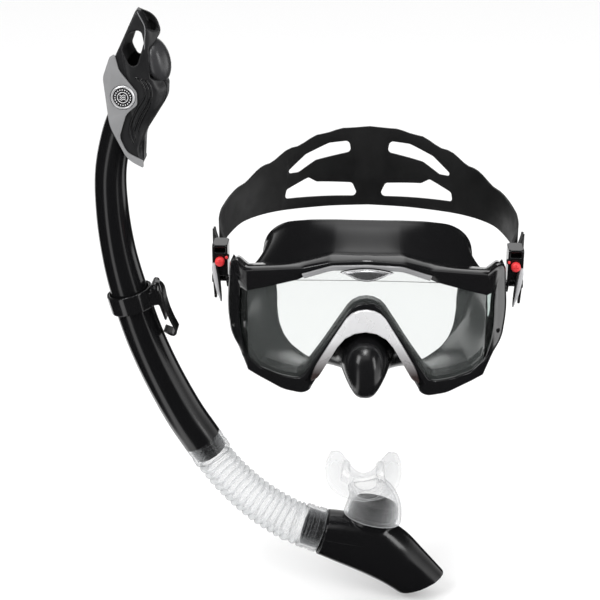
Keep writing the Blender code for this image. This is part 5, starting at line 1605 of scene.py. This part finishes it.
def housing(look):
    """Dry top's housing with its window, inlet, float room and socket."""
    black = look["matt"]
    points, faces = slab(HOUSING, HOUSING_HALF)
    body = make("dry_top", narrow(points), faces, black)
    room = [make("room", *slab(FLOAT_ROOM, HOUSING_HALF - 2.4, 2), black),
            make("window", *window_taper(), black),
            make("inlet", *prism(rounded(INLET, 8, 4), -20, INLET_BACK, upright), black),
            make("well", *slab(INLET_WELL, 5.0, 1), black),
            make("socket", *tube_space(GAP), black)]
    combine(body, room, "DIFFERENCE")
    moulded(body, 0.5, 5)
    # painted shade inside the window, the inlet and its well
    return paint_shade_inside(rolled(body), look["recess"])


def side_bump(black):
    """Small rounded bump on the dry top's outer edge."""
    rings = [ring_at(Vector((-164.2 + 0.1 * k, 0, 141.0 - 1.3 * k)), Vector((0, 0, 1)),
                     4.6 * math.sin(math.pi * (k + 0.7) / 9.4), 24, second=3.4)
             for k in range(9)]
    return make("side_bump", *loft(rings), black, smooth=80)


def side_trim(sign, grey):
    """Grey trim on one face of the dry top, with the hole for its medallion."""
    low, high = sorted((sign * (HOUSING_HALF + GAP), sign * (HOUSING_HALF + 1.9)))
    outline = list(TRIM)
    if sign > 0:
        outline[0], outline[-1] = (-157.6, 151.5, 0.8), (-161.8, 150.4, 1.5)
        outline[8], outline[9] = (-148.4, 92.2, 0.8), (-148.8, 88.6, 0.8)
    trim = make("trim_" + FACE[sign], *prism(rounded(outline, 10, 8), low, high, upright), grey)
    hole = rod(Vector((EMBLEM[0], -20, EMBLEM[1])), Vector((EMBLEM[0], 20, EMBLEM[1])),
               EMBLEM_R + GAP, SIDES)
    combine(trim, [make("hole", *hole, grey)], "DIFFERENCE")
    return eased(trim, 0.5, 4)


def dry_top(look):
    """Housing, dome, trims and medallions."""
    show(housing(look), "snorkel", "housing_plastic", "dry_top_housing")
    show(dome(look["dome"]), "snorkel", "housing_plastic", "float_cover")
    show(grooves(look["gloss"]), "snorkel", "housing_plastic").name = "dry_top_lines"
    # Painted highlight: a light grey thread along the inlet's front edge, where the edge catches
    # the light.
    line = [Vector((x, -y, z)) for x, y, z in spline(EDGE_LINE, 8)]
    edge = make("inlet_edge", *tube_along(line, 0.34, 10), look["edge"], smooth=80)
    show(edge, "snorkel", "housing_plastic")
    show(side_bump(look["gloss"]), "snorkel", "frame_plastic")
    for sign, face in FACE.items():
        show(side_trim(sign, look["grey"]), "snorkel", "grey_trim", "side_trim_" + face)
        rim, field, marks = medallion(sign, look)
        show(rim, "snorkel", "bright_trim", "emblem_" + face)
        show(field, "snorkel", "frame_plastic")
        show(marks, "snorkel", "bright_trim")


def hose_and_collars(look):
    """Corrugated hose, bent between the tube and the chamber, and its two collars."""
    route = tube_route(1)[0]
    head = (route[0] - route[1]).normalized()
    show(clear_collar("collar_upper", route[0], head, 13.7, 11.8, look["clear_hard"]),
         "snorkel", "clear_plastic", "upper_coupler")
    hose = ribbed_hose(look["clear_hose"])
    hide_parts("flex_hose")
    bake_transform(hose)
    show(clear_collar("collar_lower", LOWER_COUPLER, LOWER_AXIS, 15.8, 13.3,
                      look["clear_hard"]), "mouth_end", "clear_plastic", "lower_coupler")


def stub_ribs(black):
    """Ribs round the stub that holds the mouthpiece."""
    ribs = []
    for level, half, depth in STUB_RIBS:
        rings = [port_ring(level + a, half + c, depth + c)
                 for a, c in ((-0.5, 0), (-0.3, 0.55), (0.3, 0.55), (0.5, 0))]
        ribs.append(make("rib", *loft(rings), black))
    return joined(ribs)


def mouth_end(look):
    """Chamber with its seams and stub, and the mouthpiece."""
    body = chamber(look["tube"])
    body.name = "chamber"
    moulded(body, 0.7, 9)
    show(body, "mouth_end", "frame_plastic", "lower_chamber")
    show(chamber_seam(look["tube"]), "mouth_end", "frame_plastic").name = "chamber_seam"
    show(stub_ribs(look["tube"]), "mouth_end", "frame_plastic").name = "stub_ribs"
    show(mouthpiece(look["clear_soft"]), "mouth_end", "clear_silicone", "mouthpiece")


def strap_keeper(look):
    """Ring on the tube, its clip and the clip's pin."""
    ring, clip, pin = keeper(look["gloss"], look["steel"])
    moulded(ring, 0.4, 4)
    moulded(clip, 0.3, 4)
    for piece, name, body, slot, node in (
            (ring, "keeper_band", "keeper", "frame_plastic", "keeper_ring"),
            (clip, "keeper_hook", "clip", "frame_plastic", "keeper_clip"),
            (pin, "keeper_axle", "keeper", "steel", "keeper_pin")):
        piece.name = name
        show(piece, body, slot, node)


def snorkel(look):
    """Every piece of the snorkel."""
    pipe = tube(look["tube"])
    pipe.name = "tube"
    show(pipe, "snorkel", "frame_plastic", "snorkel_tube")
    hose_and_collars(look)
    mouth_end(look)
    dry_top(look)
    strap_keeper(look)


def carried_over(look):
    """Materials of the CAD pieces that stay as they are."""
    plan = {"glass": ["front_lens"], "side_glass": ["side_lens_right", "side_lens_left"],
            "gloss": ["pivot_pin_right", "pivot_pin_left", "purge_seat", "valve_seat",
                      "float_lever"],
            "steel": ["strap_roller_right", "strap_roller_left", "lever_pin"],
            "silicone": ["purge_flap", "seal_pad"], "foam": ["float"]}
    for name, nodes in plan.items():
        for node in nodes:
            materials = frame["nodes"][node].data.materials
            materials.clear()
            materials.append(look[name])


# ==== Studio ================================================================================

CAMERA_AT = (0, -0.8822, 0.3661)
CAMERA_YAW, CAMERA_PITCH = math.radians(2.87), math.radians(-23.03)
LENS_MM = 86.4
PANEL_AT, PANEL_WIDTH, PANEL_LEVEL = 0.70, 0.17, 1.5    # side panels seen in reflections
PANEL_TURN = 0.18             # how far the two panels are turned about the object
TOP_LEVEL, BEHIND_LEVEL, DARK_LEVEL = 0.9, 0.95, 0.008
FLOOR_DROP, FLOOR_HALF = 0.004, 9.0
# Area lights: name, place, target, width, power, height.
LIGHTS = [("key", (-0.9, -1.1, 1.3), (0, 0, 0), 0.6, 13, 1.0),
          ("fill", (1.2, -0.9, 0.7), (0, 0, 0), 0.4, 8, 1.2),
          ("top", (0.0, -0.35, 1.5), (0, 0, 0), 0.12, 3.0, 0.5)]


def softbox(name, place, target, size, power, tall):
    """Rectangular area light that looks at a point."""
    data = bpy.data.lights.new(name, "AREA")
    data.shape = "RECTANGLE"
    data.size, data.size_y = size, tall
    data.energy = power
    lamp = bpy.data.objects.new(name, data)
    bpy.context.scene.collection.objects.link(lamp)
    lamp.location = place
    lamp.rotation_euler = (Vector(target) - Vector(place)).to_track_quat("-Z", "Y").to_euler()


def world_light():
    """White surroundings; in reflections, dark with two side panels, a cap and a strip."""
    world = bpy.data.worlds.new("studio")
    bpy.context.scene.world = world
    world.use_nodes = True
    tree = world.node_tree
    link = tree.links.new
    background = tree.nodes["Background"]
    background.inputs["Color"].default_value = (1, 1, 1, 1)

    def math_node(kind, first, second):
        node = tree.nodes.new("ShaderNodeMath")
        node.operation = kind
        for socket, value in zip(node.inputs, (first, second)):
            if isinstance(value, (int, float)):
                socket.default_value = value
            else:
                link(value, socket)
        return node.outputs["Value"]

    def bump(source, centre, width):
        away = math_node("DIVIDE", math_node("ABSOLUTE", math_node(
            "SUBTRACT", source, centre), 0), width)
        node = tree.nodes.new("ShaderNodeMapRange")
        node.interpolation_type = "SMOOTHSTEP"
        node.inputs["From Min"].default_value = 1.0
        node.inputs["From Max"].default_value = 0.4
        link(away, node.inputs["Value"])
        return node.outputs["Result"]

    place = tree.nodes.new("ShaderNodeTexCoord")
    split = tree.nodes.new("ShaderNodeSeparateXYZ")
    link(place.outputs["Generated"], split.inputs["Vector"])
    aside = math_node("ABSOLUTE", split.outputs["X"], 0)
    turned_aside = math_node("ABSOLUTE", math_node("SUBTRACT", split.outputs["X"], PANEL_TURN), 0)
    low = bump(split.outputs["Z"], -0.4, 0.85)
    sides = math_node("MULTIPLY", math_node("MULTIPLY", bump(
        turned_aside, PANEL_AT, PANEL_WIDTH), low), PANEL_LEVEL)
    behind = math_node("MULTIPLY", bump(aside, 0.0, 0.30), bump(split.outputs["Y"], 0.75, 0.5))
    cap = math_node("MULTIPLY", bump(split.outputs["Z"], 1.0, 0.34), bump(aside, 0.0, 0.34))
    top = math_node("ADD", math_node("MULTIPLY", cap, TOP_LEVEL),
                    math_node("MULTIPLY", behind, BEHIND_LEVEL))
    seen = math_node("ADD", math_node("ADD", sides, top), DARK_LEVEL)
    path = tree.nodes.new("ShaderNodeLightPath")
    mix = tree.nodes.new("ShaderNodeMix")
    link(path.outputs["Is Glossy Ray"], mix.inputs[0])
    mix.inputs[2].default_value = 1.0
    link(seen, mix.inputs[3])
    link(mix.outputs[0], background.inputs["Strength"])


def studio():
    """Floor, lights and camera."""
    mesh = bpy.data.meshes.new("floor")
    side, level = FLOOR_HALF, CAD_BOX[0].z - FLOOR_DROP
    mesh.from_pydata([(-side, -side, level), (side, -side, level), (side, side, level),
                      (-side, side, level)], [], [(0, 1, 2, 3)])
    floor = bpy.data.objects.new("floor", mesh)
    bpy.context.scene.collection.objects.link(floor)
    mesh.materials.append(Finish("floor_paper", (0.93, 0.93, 0.93), 0.9,
                                 Specular_IOR_Level=0.1).rough(3, 0.05).material)
    floor.visible_glossy = False
    world_light()
    for light in LIGHTS:
        softbox(*light)
    data = bpy.data.cameras.new("camera")
    data.lens = LENS_MM
    data.sensor_width = 36
    camera = bpy.data.objects.new("camera", data)
    bpy.context.scene.collection.objects.link(camera)
    camera.location = CAMERA_AT
    camera.rotation_euler = (math.pi / 2 + CAMERA_PITCH, 0, CAMERA_YAW)
    bpy.context.scene.camera = camera
    bpy.context.scene.view_settings.view_transform = "Standard"


def main():
    """Build the looks, then the studio."""
    look = finishes()
    mask(look)
    strap_pieces(look)
    snorkel(look)
    carried_over(look)
    studio()


main()
